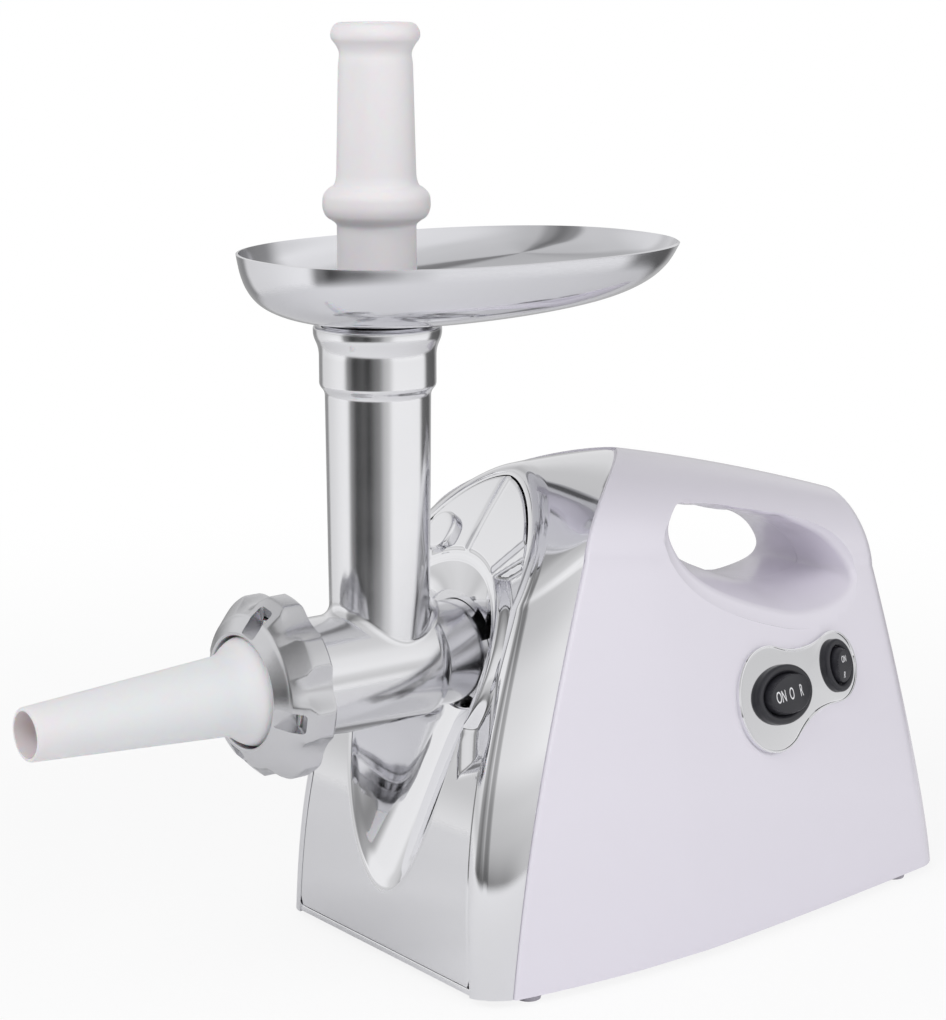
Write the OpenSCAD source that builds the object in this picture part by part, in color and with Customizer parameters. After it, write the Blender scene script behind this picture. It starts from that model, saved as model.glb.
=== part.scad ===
// Electric meat grinder with sausage nozzle, feed tube, tray and pusher.
// Frame: X towards the switch side, Y towards the rear, Z up, feet on Z = 0.
// The origin lies under the middle of the whole length. Sizes are in millimetres.

/* [Body shell] */
// Height of the body's crest above its bottom edge
body_h = 220; // [205:1:235]
// Length of the body along its bottom edge
body_l = 299.7; // [285:0.1:320]
// How far the front face leans back from foot to crest
front_lean = 78.7; // [60:0.1:85]
// Half width of the front face at the bottom edge
front_half_w = 71.7; // [66:0.1:74]
// Half width of the body at the chrome seam, bottom edge
seam_half_w = 82.3; // [78:0.1:85]
// Half width of the body at its widest, bottom edge
belly_half_w = 90; // [87:0.5:96]
// Half width lost from the widest place to the rear end
rear_narrowing = 20; // [14:0.5:26]
// Distance from the front edge to the widest place
belly_y = 107.7; // [95:0.1:125]
// Depth of the chrome band at the bottom edge, front face to seam
band_depth = 13.5; // [11:0.1:18]
// Distance from the front edge to the seam on the crest
seam_crest_y = 137.7; // [128:0.1:145]
// Fall of the crest from the seam to the rear
crest_fall = 38.5; // [28:0.5:46]
// Height of the rounded shoulder under the crest
shoulder_h = 35; // [30:1:40]
// Rounding of the body's rear corners
rear_round = 18; // [12:1:22]
// Wall thickness of the white housing
housing_wall = 2.8; // [2:0.1:4]
// Wall thickness of the chrome cowl and its panel
cowl_wall = 3; // [2.4:0.1:4]

/* [Carrying handle] */
// Radius of each finger groove under the grip
finger_r = 14; // [11:0.5:17]
// Depth that a finger groove cuts into the grip
finger_depth = 2; // [1:0.1:3]
// Widening of the handle opening from the grip's middle to the surface
handle_flare = 7; // [4:0.5:9]

/* [Front panel] */
// Width of the chrome rim round the panel
rim_w = 5; // [4:0.1:7]
// Radius of the socket funnel at the face
funnel_r = 42; // [39:0.5:44]
// Radius of the funnel's throat
throat_r = 28; // [27:0.1:30]
// Depth of the throat behind the feed-tube axis
throat_y = 43; // [40:0.5:44]
// Reach of the scooped groove below the barrel axis
scoop_drop = 106; // [90:1:112]
// Height that the shield stands proud
shield_proud = 1.6; // [1:0.1:2.5]
// Depth of the side pockets beside the funnel
pocket_depth = 4; // [2:0.1:6]

/* [Grinder head] */
// Height of the barrel axis above the feet's ground
axis_z = 140.5; // [134:0.5:146]
// Barrel outside radius
barrel_r = 26.7; // [26.2:0.1:28]
// Barrel bore radius
barrel_bore_r = 23.7; // [22.5:0.1:24]
// Distance from the tube axis to the barrel's mouth
mouth_reach = 60; // [56:0.5:66]
// Distance from the tube axis to the barrel's rear shoulder
shoulder_y = 22; // [18:0.5:25]
// Radius of the neck that enters the body
neck_r = 23.6; // [22.5:0.1:24]
// Feed tube outside radius at its top
tube_r = 23.3; // [22:0.1:24.4]
// Feed tube bore radius
tube_bore_r = 18.9; // [18.6:0.1:19.8]
// Height of the step under the tube's collar
collar_z = 268.3; // [255:0.5:275]
// Collar outside radius
collar_r = 25.7; // [25.2:0.1:26.5]
// Height of the tube's top edge
tube_top_z = 293.9; // [288:0.5:300]
// Radius of the flared lip
lip_r = 28.2; // [27.5:0.1:30]
// Turn of the head from locked to released
unlock_turn = 50; // [40:1:60]

/* [Ring nut and nozzle] */
// Ring nut outside radius over its lobes
nut_r = 41.3; // [39.5:0.1:44]
// Number of lobes
nut_lobes = 8; // [6:1:10]
// Length of the lobed part
nut_l = 18.8; // [17:0.1:22]
// Radius of the front lip
nut_lip_r = 32.8; // [31.5:0.1:34]
// Radius of the opening that holds the nozzle
nut_hole_r = 24.8; // [24:0.1:26]
// Width of the spanner slots
nut_slot_w = 8.6; // [6:0.1:10]
// Nozzle reach from the tube axis to its tip
nozzle_reach = 177.5; // [150:0.5:195]
// Nozzle outside radius at the tip
nozzle_tip_r = 11.5; // [9:0.1:13]
// Nozzle outside radius where the taper ends
nozzle_root_r = 17.6; // [16:0.1:19]
// Nozzle wall thickness
nozzle_wall = 1.6; // [1.2:0.1:2.2]

/* [Tray and pusher] */
// Height of the tray's rim above the ground
tray_rim_z = 325.2; // [318:0.5:335]
// Half width of the tray
tray_half_w = 72; // [60:0.5:80]
// Half length of the tray
tray_half_l = 104; // [90:0.5:115]
// Offset of the tray's middle behind its neck
tray_shift = 46.6; // [30:0.1:55]
// Sheet thickness of the tray
tray_wall = 1.2; // [1:0.1:2]
// Pusher stem radius at its lower end
pusher_r = 17.8; // [16.5:0.1:18.2]
// Height of the pusher's top above the ground
pusher_top_z = 424; // [410:0.5:440]
// Pusher stem length below its collar
pusher_stem_l = 126; // [110:1:130]

/* [Switches] */
// Distance from the tube axis to the switch plate's middle
plate_y = 199; // [190:0.5:206]
// Height of the switch plate's middle above the bottom edge
plate_z = 105; // [98:0.5:112]
// Thickness of the switch plate
plate_t = 2; // [1.5:0.1:3]
// Main switch bezel length
main_bezel_l = 43; // [39:0.5:46]
// Main switch bezel height
main_bezel_h = 28; // [25:0.5:31]
// Reverse switch bezel width
rev_bezel_w = 22; // [20:0.5:24]
// Reverse switch bezel height
rev_bezel_h = 26; // [23:0.5:28]

/* [Drive] */
// Module of the output pair
out_module = 1.5; // [1.4:0.05:1.55]
// Teeth of the output gear
out_teeth = 48; // [44:1:50]
// Teeth of both pinions
pinion_teeth = 12; // [12:1:13]
// Module of the motor pair
in_module = 1; // [0.95:0.05:1.05]
// Teeth of the intermediate wheel
wheel_teeth = 60; // [56:1:62]
// Height of the motor axis above the ground
motor_z = 72; // [70:0.5:75]
// Radius of the armature core
armature_r = 21; // [18:0.5:22]
// Length of the stator stack
stack_l = 40; // [32:1:44]

/* [Feet] */
// Height of the feet below the body
foot_h = 4; // [3:0.5:6]
// Radius of a foot
foot_r = 6.5; // [5:0.5:8]

/* [Hidden] */
$fn = 64;
chrome = [0.86, 0.87, 0.89];
cast = [0.78, 0.79, 0.80];
steel = [0.66, 0.67, 0.69];
white = [0.93, 0.91, 0.95];
milky = [0.94, 0.93, 0.93];
black = [0.09, 0.09, 0.10];
gap = 0.3;       // between pieces that must not touch
fit = 0.06;      // radial running fit of a shaft
eps = 0.01;

body_front = -0.7;                        // front edge behind the feed-tube axis
rear_reach = body_front + body_l;
tube_y = (nozzle_reach - rear_reach) / 2; // feed-tube axis in the row frame

function mix(a, b, t) = a + (b - a) * t;

// Frames: pieces of the head and body count Y from the feed-tube axis.
module placed() { translate([0, tube_y, 0]) children(); }
module on_body() { translate([0, tube_y, foot_h]) children(); }
// Local Z runs to the rear along the barrel axis, local Y points down.
module along_axis(y = 0) { translate([0, tube_y + y, axis_z]) rotate([-90, 0, 0]) children(); }

// ---------------------------------------------------------------- body surface
// z counts from the body's bottom edge in all of these functions.
ridge_shoulder_z = 0.75 * body_h;
ridge_draft = 0.075;
ridge_turn_in = 9.3;
arch_n = 1.72;                            // fullness of the shoulders, 2 is an ellipse
function front_y(z) = body_front + front_lean * pow(max(z, 0) / (body_h - 1), 2.42);
function ridge_x(z) = front_half_w - ridge_draft * z
  - ridge_turn_in * pow(max(z, 0) / ridge_shoulder_z, 5.7);
function arch_x(a) = pow(cos(a), 2 / arch_n);
function arch_z(a) = pow(sin(a), 2 / arch_n);

seam_shoulder_z = body_h - shoulder_h;
seam_bow = 66;                            // the seam runs back this far over the shoulders
function seam_side_y(z) = body_front + band_depth + 0.1 * z
  + (seam_crest_y - seam_bow - band_depth - 0.1 * seam_shoulder_z)
  * pow(max(z, 0) / seam_shoulder_z, 2.4);
function seam_arch_y(a) = body_front + seam_crest_y - seam_bow * pow(arch_x(a), 1.2);
rear_lean = 0.06;
function rear_y(z) = rear_reach - rear_lean * z;

belly = body_front + belly_y;
function floor_x(y) = y < belly
  ? belly_half_w - (belly_half_w - seam_half_w) * pow((belly - y) / (belly_y - band_depth), 2)
  : belly_half_w - rear_narrowing * pow((y - belly) / (rear_reach - belly), 1.3);
function side_turn(y) = mix(19, 50, (y - 20) / 270);
function side_pow(y) = mix(2.3, 1.3, (y - 20) / 270);
function side_x(y, z) = floor_x(y) - side_turn(y) * pow(max(z, 0) / 170, side_pow(y));
crest_seam_y = body_front + seam_crest_y;
crest_run = rear_reach - 14 - crest_seam_y;
function crest_z(y) = body_h - crest_fall * (0.77 * (y - crest_seam_y) / crest_run
  + 0.23 * pow((y - crest_seam_y) / crest_run, 2));

side_steps = 6;
arch_steps = 8;
// One half section from the bottom edge to the crest, d is an inset for the inner wall.
function ridge_half(d) = concat(
  [for (j = [0:side_steps - 1]) let (z = ridge_shoulder_z * j / side_steps)
    [ridge_x(z) - d, front_y(z), z]],
  [for (j = [0:arch_steps]) let (a = 90 * j / arch_steps,
    z = ridge_shoulder_z + (body_h - 1 - ridge_shoulder_z) * arch_z(a))
    [(ridge_x(ridge_shoulder_z) - d) * arch_x(a), front_y(z), z - d * sin(a)]]);
function seam_half(d) = body_half(0, d);
function body_half(t, d) = let (
    y_c = mix(crest_seam_y, rear_y(body_h - crest_fall), t),
    z_c = crest_z(y_c),
    z_s = z_c - shoulder_h,
    run = (1 - t) * (rear_reach - seam_side_y(0)),
    e = min(run, rear_round),
    cut = d + rear_round - sqrt(pow(rear_round, 2) - pow(rear_round - e, 2)),
    z_r = crest_z(rear_y(body_h - crest_fall)) - shoulder_h,
    y_s = mix(seam_side_y(seam_shoulder_z), rear_y(z_r), t),
    w_s = side_x(y_s, z_s) - cut)
  concat(
    [for (j = [0:side_steps - 1]) let (k = j / side_steps,
      y = mix(seam_side_y(k * seam_shoulder_z), rear_y(k * z_r), t))
      [side_x(y, k * z_s) - cut, y, k * z_s]],
    [for (j = [0:arch_steps]) let (a = 90 * j / arch_steps,
      z = z_s + (shoulder_h - cut) * arch_z(a))
      [w_s * arch_x(a), mix(seam_arch_y(a), rear_y(z), t), z]]);
band_bulge = 1.2;
function band_half(s, d) = let (r = ridge_half(d), m = seam_half(d))
  [for (j = [0:len(r) - 1]) let (p = mix(r[j], m[j], s),
    b = band_bulge * 4 * s * (1 - s))
    [p[0] + b * (p[0] > 1 ? 1 : 0), p[1], p[2] + (p[0] > 1 ? 0 : b * 0.5)]];
function shifted(half, dy, dz = 0) = [for (p = half) [p[0], p[1] + dy, p[2] + dz]];

// A solid through a row of half sections, closed by mirroring, with flat end caps.
module loft(halves) {
  n = len(halves[0]);
  m = 2 * n - 1;
  k = len(halves);
  pts = [for (h = halves) each concat(h, [for (j = [n - 2:-1:0]) [-h[j][0], h[j][1], h[j][2]]])];
  walls = [for (i = [0:k - 2]) for (j = [0:m - 2])
    let (a = i * m + j) each [[a, a + 1, a + m], [a + 1, a + m + 1, a + m]]];
  floors = [for (i = [0:k - 2]) let (a = i * m, b = i * m + m - 1)
    each [[a, a + m, b], [b, a + m, b + m]]];
  front = [for (j = [0:n - 2]) let (a = j, b = m - 1 - j)
    each (j == n - 2 ? [[a, b, a + 1]] : [[a, b, a + 1], [b, b - 1, a + 1]])];
  o = (k - 1) * m;
  back = [for (j = [0:n - 2]) let (a = o + j, b = o + m - 1 - j)
    each (j == n - 2 ? [[a, a + 1, b]] : [[a, a + 1, b], [b, a + 1, b - 1]])];
  polyhedron(pts, concat(walls, floors, front, back), convexity = 6);
}

body_stations = [0, 0.1, 0.24, 0.42, 0.62, 0.8, 0.925, 0.965, 0.99, 1];
band_stations = [0, 0.33, 0.67, 1];

module housing_solid() { loft([for (t = body_stations) body_half(t, 0)]); }
module housing_cavity() {
  d = housing_wall;
  loft(concat([shifted(body_half(0, d), -4, -2)],
    [for (t = body_stations) shifted(body_half(t, d), t < 0.5 ? 0 : -d, -2)]));
}
module cowl_solid() { loft([for (s = band_stations) band_half(s, 0)]); }
module cowl_cavity() {
  d = cowl_wall;
  loft(concat([for (s = band_stations) shifted(band_half(s, d), d, -2)],
    [shifted(seam_half(d), d + 5, -2)]));
}

// ---------------------------------------------------------------- handle
// Outline of the handle opening at the outer surface: [behind the seam's crest, below the crest].
// Its length follows the body's.
handle_stretch = (rear_reach - crest_seam_y) / 162;
handle_marks = [
  [-7, 29], [3, 19.5], [16, 20], [31, 22], [57, 28.5], [84, 35.5], [110, 47], [124, 60],
  [129, 72], [123, 80.5], [102, 84], [76, 81], [51, 73], [23, 61], [5, 50], [-5, 39]
];
handle_outline = [for (p = handle_marks) [crest_seam_y + p[0] * handle_stretch, body_h - p[1]]];
function at_ring(p, i) = p[(i + len(p)) % len(p)];
// A smooth closed curve through the points, with k steps between neighbours.
function smooth_loop(p, k) = [for (i = [0:len(p) - 1]) for (j = [0:k - 1]) let (t = j / k,
    a = at_ring(p, i - 1), b = p[i], c = at_ring(p, i + 1), d = at_ring(p, i + 2))
  b + (c - a) * t / 2 + (2 * a - 5 * b + 4 * c - d) * t * t / 2
    + (3 * b - 3 * c + d - a) * pow(t, 3) / 2];
function grown(p, g) = [for (i = [0:len(p) - 1])
  let (v = at_ring(p, i + 1) - at_ring(p, i - 1)) p[i] + g * [-v[1], v[0]] / norm(v)];
handle_loop = smooth_loop(handle_outline, 2);
// The opening is narrowest inside the grip and flares out to both surfaces.
function flare_at(x) = handle_flare * (pow(max(abs(x) - 12, 0) / 34, 2) - 1);
handle_x = [-80, -64, -52, -40, -26, -12, 12, 26, 40, 52, 64, 80];

// A closed solid through a row of closed rings, with flat end caps.
module skin(rings) {
  n = len(rings[0]);
  k = len(rings);
  walls = [for (i = [0:k - 2]) for (j = [0:n - 1]) let (a = i * n + j, b = i * n + (j + 1) % n)
    each [[a, b, a + n], [b, b + n, a + n]]];
  polyhedron([for (r = rings) each r],
    concat(walls, [[for (j = [n - 1:-1:0]) j], [for (j = [0:n - 1]) (k - 1) * n + j]]), convexity = 8);
}
// Side-view shapes are extruded along X.
module across(x0, x1) {
  multmatrix([[0, 0, 1, x0], [1, 0, 0, 0], [0, 1, 0, 0]]) linear_extrude(x1 - x0) children();
}
module handle_plug(g) {
  skin([for (x = handle_x) [for (p = grown(handle_loop, flare_at(x) + g)) [x, p[0], p[1]]]]);
}
finger_y = [for (i = [0:3]) crest_seam_y + (15 + 22 * i) * handle_stretch];
function grip_z(y) = body_h - 16.5 - 0.222 * (y - crest_seam_y) / handle_stretch - handle_flare;
module handle_cut() {
  handle_plug(0);
  across(-26, 26) for (y = finger_y)
    translate([y, grip_z(y) + finger_depth - finger_r]) circle(r = finger_r, $fn = 36);
}
module handle_lining() {
  handle_plug(housing_wall);
  across(-26, 26) for (y = finger_y)
    translate([y, grip_z(y) + finger_depth - finger_r]) circle(r = finger_r + housing_wall, $fn = 36);
}

// ---------------------------------------------------------------- switch face frame
plate_x = side_x(plate_y, plate_z);
slope_y = (side_x(plate_y + 20, plate_z) - side_x(plate_y - 20, plate_z)) / 40;
slope_z = (side_x(plate_y, plate_z + 12) - side_x(plate_y, plate_z - 12)) / 24;
face_n = [1, -slope_y, -slope_z] / norm([1, -slope_y, -slope_z]);
face_u = cross([0, 0, 1], face_n) / norm(cross([0, 0, 1], face_n));
face_v = cross(face_n, face_u);
plate_sink = 0.9;                        // the plate's face stands about 1 mm proud
// Local X runs to the rear, local Y up the side, local Z straight out of the housing.
module on_switch_face() {
  on_body() translate([plate_x, plate_y, plate_z]) multmatrix([
    [face_u[0], face_v[0], face_n[0], 0],
    [face_u[1], face_v[1], face_n[1], 0],
    [face_u[2], face_v[2], face_n[2], 0]])
    translate([0, 0, -plate_sink]) children();
}
main_spot = [-15, 0.5];
rev_spot = [32, 5];
function oval_points(l, h) = [for (i = [0:55]) let (a = 360 / 56 * i - 90) [l / 2 * cos(a), h / 2 * sin(a)]];
module oval(l, h) { polygon(oval_points(l, h)); }
module capsule(l, h) {
  r = min(l, h) / 2;
  if (l > h)
    hull() { translate([r - l / 2, 0]) circle(r); translate([l / 2 - r, 0]) circle(r); }
  else
    hull() { translate([0, r - h / 2]) circle(r); translate([0, h / 2 - r]) circle(r); }
}
// The plate is two round lobes with a long concave waist.
waist_r = 60;
module peanut(grow = 0) {
  offset(r = grow - waist_r, $fn = 90) offset(r = waist_r, $fn = 90) {
    translate(main_spot - [8, -0.5]) circle(r = main_bezel_l / 2 + 4, $fn = 48);
    translate(rev_spot - [1, 0]) circle(r = rev_bezel_h / 2 + 4.5, $fn = 40);
  }
}
switch_depth = 22;
module main_body_shape(grow = 0) {
  translate(main_spot) oval(main_bezel_l - 5 + 2 * grow, main_bezel_h - 5 + 2 * grow);
}
module rev_body_shape(grow = 0) {
  translate(rev_spot) oval(rev_bezel_w - 4 + 2 * grow, rev_bezel_h - 4 + 2 * grow);
}

// ---------------------------------------------------------------- white housing
grommet_r = 7;
grommet_z = 26;
grommet_x = 30;
// Local Z runs into the housing, square to its leaning rear face.
module on_inlet() {
  translate([grommet_x, rear_y(grommet_z), grommet_z]) rotate([90 + atan(rear_lean), 0, 0]) children();
}
boss_r = 5;
boss_seat_x = -20;                       // the screw heads rest here inside the left half
housing_screw_spots = [[crest_seam_y - 25, body_h - 24], [rear_reach - 21, body_h - 60],
  [rear_reach - 19, 26], [rear_reach - 52, motor_z + 36], [36, 16]];
base_screw_spots = [for (y = [60, rear_reach - 89]) for (s = [-1, 1]) [s * (floor_x(y) - 14), y]];
post_h = 22;
module housing_posts() {
  for (p = base_screw_spots) translate([p[0] > 0 ? p[0] - 6 : p[0] - 26, p[1] - 6, base_t])
    cube([32, 12, post_h]);
}
module screw_bosses() {
  across(-120, 120) for (p = housing_screw_spots) translate(p) circle(r = boss_r, $fn = 32);
}
module housing_shell() {
  difference() {
    union() {
      difference() { housing_solid(); housing_cavity(); }
      intersection() { housing_solid(); union() { handle_lining(); housing_posts(); screw_bosses(); } }
    }
    handle_cut();
    on_inlet() translate([0, 0, -10]) cylinder(r = grommet_r, h = 30, $fn = 64);
    across(boss_seat_x - eps, 14) for (p = housing_screw_spots) translate(p) circle(r = 1.8, $fn = 24);
    across(-120, boss_seat_x) for (p = housing_screw_spots) translate(p) circle(r = 3.6, $fn = 24);
    for (p = base_screw_spots) translate([p[0], p[1], 0]) cylinder(r = 1.9, h = 16, $fn = 24);
    translate([0, -tube_y, -foot_h]) on_switch_face() {
      linear_extrude(20) offset(r = gap) peanut();
      translate([0, 0, -30]) linear_extrude(31) main_body_shape(gap);
      translate([0, 0, -30]) linear_extrude(31) rev_body_shape(gap);
    }
  }
}
far = 900;                               // longer than the whole machine
module half_space(side) {
  translate([side > 0 ? 0 : -far, -far / 2, -far / 2]) cube(far);
}
module housing_right() {
  color(white) on_body() intersection() { housing_shell(); half_space(1); }
}
module housing_left() {
  color(white) on_body() intersection() { housing_shell(); half_space(-1); }
}

// ---------------------------------------------------------------- chrome front
axis_h = axis_z - foot_h;                // barrel axis above the bottom edge
panel_bottom = 3.2;
// Outline of the front face in the front view; it runs on below the bottom edge.
ridge_front = [for (p = ridge_half(0)) [p[0], p[2]]];
face_outline = concat([ridge_front[0] + [0, -30]], ridge_front,
  [for (j = [len(ridge_front) - 2:-1:0]) [-ridge_front[j][0], ridge_front[j][1]]],
  [[-ridge_front[0][0], -30]]);
// Front-view shapes are extruded along Y.
module through_front(y0, y1) {
  translate([0, y1, 0]) rotate([90, 0, 0]) linear_extrude(y1 - y0) children();
}
module opening_shape(inset) {
  intersection() {
    offset(delta = -inset) polygon(face_outline);
    translate([-100, panel_bottom]) square([200, 300]);
  }
}
module scoop_shape(grow = 0) {
  translate([0, axis_h]) {
    circle(r = funnel_r + grow);
    intersection() {
      resize([2 * (funnel_r + grow), 2 * (scoop_drop + grow)]) circle(r = 60, $fn = 96);
      translate([-100, -200]) square([200, 200]);
    }
  }
}
shield_foot_z = 0.85 * body_h;
module shield_shape() {
  difference() {
    intersection() {
      opening_shape(rim_w + 2);
      polygon([[-60, shield_foot_z + 2], [-24, shield_foot_z - 7], [0, shield_foot_z - 12],
        [24, shield_foot_z - 7], [60, shield_foot_z + 2], [60, 260], [-60, 260]]);
    }
    translate([0, axis_h]) circle(r = funnel_r + 1.5);
  }
}
pocket_low = 0.44 * body_h;
module pocket_shape(inset) {
  difference() {
    intersection() {
      opening_shape(rim_w + 1.5 + inset);
      translate([0, (pocket_low + shield_foot_z) / 2 + 2])
        square([200, shield_foot_z - pocket_low - 2 * inset], center = true);
    }
    translate([0, axis_h]) circle(r = funnel_r + 2 + inset);
    translate([0, pocket_low - 30]) square([2 * funnel_r + 4, 2 * 66], center = true);
  }
}
module face_slab(y_shift, t) {
  intersection() {
    translate([0, y_shift, 0]) loft([shifted(ridge_half(-20), 0), shifted(ridge_half(-20), t)]);
    translate([-200, -100, 0.5]) cube([400, 400, 400]);
  }
}
// Solid funnel from the face outline to the round throat, grown by g.
module funnel(g, reach = 0) {
  hull() {
    intersection() {
      through_front(-40, 140) scoop_shape(g);
      face_slab(-0.5, 1);
    }
    translate([0, throat_y, axis_h]) rotate([-90, 0, 0]) cylinder(r = throat_r + g, h = max(reach, eps));
  }
}
lock_z = body_h - 34;
lock_x = -21;
lock_tilt = atan(front_lean * 2.42 / (body_h - 1) * pow(lock_z / (body_h - 1), 1.42));
lock_r = 8.5;                            // half the button's width
lock_h = 20;                             // the button's height
lock_seat = -2.6;                        // the button's flange rests on this ledge
lock_cup_l = 2 * lock_r + 3;
lock_cup_h = lock_h + 3;
lock_cup_end = -13;
// Local Z points out of the shield at the lock button.
module on_lock() {
  on_body() translate([lock_x, front_y(lock_z), lock_z]) rotate([90 - lock_tilt, 0, 0]) children();
}
module cowl_frame() {
  color(chrome) on_body() {
    difference() {
      cowl_solid();
      cowl_cavity();
      through_front(-40, 160) opening_shape(rim_w);
    }
    intersection() {
      cowl_solid();
      face_slab(cowl_wall, 3);
      through_front(-40, 160) difference() {
        opening_shape(rim_w - 3);
        opening_shape(rim_w + 4);
        translate([-100, -10]) square([200, 10 + panel_bottom + 4]);
        translate([-100, pocket_low - 4]) square([200, 300]);
      }
    }
  }
}
module front_panel() {
  color(chrome) difference() {
    on_body() difference() {
      union() {
        intersection() {
          through_front(-40, 160) opening_shape(rim_w + gap);
          face_slab(0, cowl_wall);
        }
        intersection() {
          through_front(-40, 160) shield_shape();
          face_slab(-shield_proud, shield_proud + cowl_wall - 0.6);
        }
        intersection() {
          through_front(-40, 160) pocket_shape(-1);
          face_slab(0.7, cowl_wall + pocket_depth - 0.7);
        }
        intersection() {
          funnel(2.4, 1);
          face_slab(1.3, 90);
        }
        translate([0, -tube_y, -foot_h]) on_lock() translate([0, 0, lock_cup_end])
          linear_extrude(-lock_cup_end - 1.6) capsule(lock_cup_l + 3, lock_cup_h + 3);
      }
      funnel(0, 4);
      intersection() {
        through_front(-40, 160) pocket_shape(0);
        face_slab(-30, 30 + pocket_depth);
      }
    }
    on_lock() {
      translate([0, 0, lock_seat - 1]) linear_extrude(40)
        capsule(2 * lock_r + 2 * gap, lock_h + 2 * gap);
      translate([0, 0, lock_cup_end + 1.6]) linear_extrude(lock_seat - lock_cup_end - 1.6)
        capsule(lock_cup_l, lock_cup_h);
      translate([0, 0, -30]) cylinder(r = 3 + gap, h = 40);
    }
  }
}
module base_outline(inset) {
  function along(t) = t == 0 ? inset : t < 0.5 ? 0 : -inset;
  pts = [for (t = body_stations) let (p = body_half(t, inset)[0]) [p[0], p[1] + along(t)]];
  r = ridge_half(inset)[0];
  half = concat([[r[0], r[1] + inset]], pts);
  n = len(half);
  polygon(concat(half, [for (i = [n - 1:-1:0]) [-half[i][0], half[i][1]]]));
}
base_t = 3;
base_clear = 1;                          // the walls lean in over the plate's thickness
foot_spots = [for (y = [26, rear_reach - 31]) for (s = [-1, 1]) [s * (floor_x(y) - 9.5), y]];
vent_rows = 9;
module base_plate() {
  color(white) on_body() difference() {
    linear_extrude(base_t) base_outline(max(housing_wall, cowl_wall) + base_clear);
    for (i = [0:vent_rows - 1]) translate([0, 110 + 10 * i, -1])
      linear_extrude(base_t + 2) square([70, 4], center = true);
    for (p = foot_spots) translate([p[0], p[1], -1]) cylinder(r = 3, h = base_t + 2, $fn = 24);
    for (p = base_screw_spots) translate([p[0], p[1], -1]) cylinder(r = 1.9, h = base_t + 2, $fn = 24);
  }
}
module feet() {
  color(black) placed() for (p = foot_spots) translate([p[0], p[1], 0]) {
    cylinder(r1 = foot_r - 1, r2 = foot_r, h = foot_h);
    translate([0, 0, foot_h - eps]) cylinder(r = 2.9, h = base_t + 1, $fn = 24);
    translate([0, 0, foot_h + base_t]) cylinder(r1 = 3.6, r2 = 2.4, h = 2, $fn = 24);
  }
}
module cord_grommet() {
  color(black) on_body() on_inlet() translate([0, 0, -0.85])
    difference() {
      union() {
        cylinder(r = grommet_r + 2, h = 0.8);
        cylinder(r = grommet_r - 0.1, h = 7);
        translate([0, 0, 1.1 + housing_wall]) cylinder(r = grommet_r + 1.5, h = 2);
      }
      translate([0, 0, -1]) cylinder(r = 3.5, h = 10);
    }
}

// ---------------------------------------------------------------- switches
module switch_plate() {
  color(chrome) on_switch_face() difference() {
    union() {
      linear_extrude(plate_t) peanut();
      translate([0, 0, plate_t - eps]) linear_extrude(0.5) difference() { peanut(); peanut(-1.4); }
    }
    translate([0, 0, -1]) linear_extrude(plate_t + 3) { main_body_shape(gap); rev_body_shape(gap); }
  }
}
rocker_gap = 0.4;
module switch_can(rim_l, rim_h, spot) {
  translate([spot[0], spot[1], plate_t]) difference() {
    union() {
      linear_extrude(2) oval(rim_l, rim_h);
      translate([0, 0, 2 - eps]) linear_extrude(0.8) oval(rim_l - 1.6, rim_h - 1.6);
      translate([0, 0, -switch_depth]) linear_extrude(switch_depth + 1) children(0);
    }
    translate([0, 0, -9]) linear_extrude(30) children(1);
  }
}
module main_switch_body() {
  color(black) on_switch_face() switch_can(main_bezel_l, main_bezel_h, main_spot) {
    oval(main_bezel_l - 5, main_bezel_h - 5);
    oval(main_bezel_l - 9, main_bezel_h - 8);
  }
}
module reverse_switch_body() {
  color(black) on_switch_face() switch_can(rev_bezel_w, rev_bezel_h, rev_spot) {
    oval(rev_bezel_w - 4, rev_bezel_h - 4);
    oval(rev_bezel_w - 7.5, rev_bezel_h - 7);
  }
}
// A rocker turns on a pin through its middle. It is turned about that pin like a spindle, so it
// keeps clear of the bezel's oval at every tip. Its face bows out.
module rocker(l, h, rise, edge) {
  r = (l * l / 4 + rise * rise) / (2 * rise);
  rotate([90, 0, 0]) intersection() {
    rotate_extrude($fn = 96) polygon([for (p = oval_points(l, h)) if (p[0] > -eps)
      [p[0] < eps ? 0 : p[0], p[1]]]);
    translate([0, 0, -h / 2]) linear_extrude(h) intersection() {
      translate([0, edge + rise - r]) circle(r = r, $fn = 128);
      translate([-l, -5]) square([2 * l, 20]);
    }
  }
}
module main_rocker() {
  color(black) on_switch_face() translate([main_spot[0], main_spot[1], plate_t])
    rocker(main_bezel_l - 9 - 2 * rocker_gap, main_bezel_h - 8 - 2 * rocker_gap, 1.5, 5.2);
}
// This one has two positions and rests tipped to one of them.
rev_tip = 9;
module reverse_rocker() {
  color(black) on_switch_face() translate([rev_spot[0], rev_spot[1], plate_t]) rotate([rev_tip, 0, 0])
    rotate([0, 0, 90]) rocker(rev_bezel_h - 7 - 2 * rocker_gap, rev_bezel_w - 7.5 - 2 * rocker_gap, 1, 4.2);
}

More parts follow.
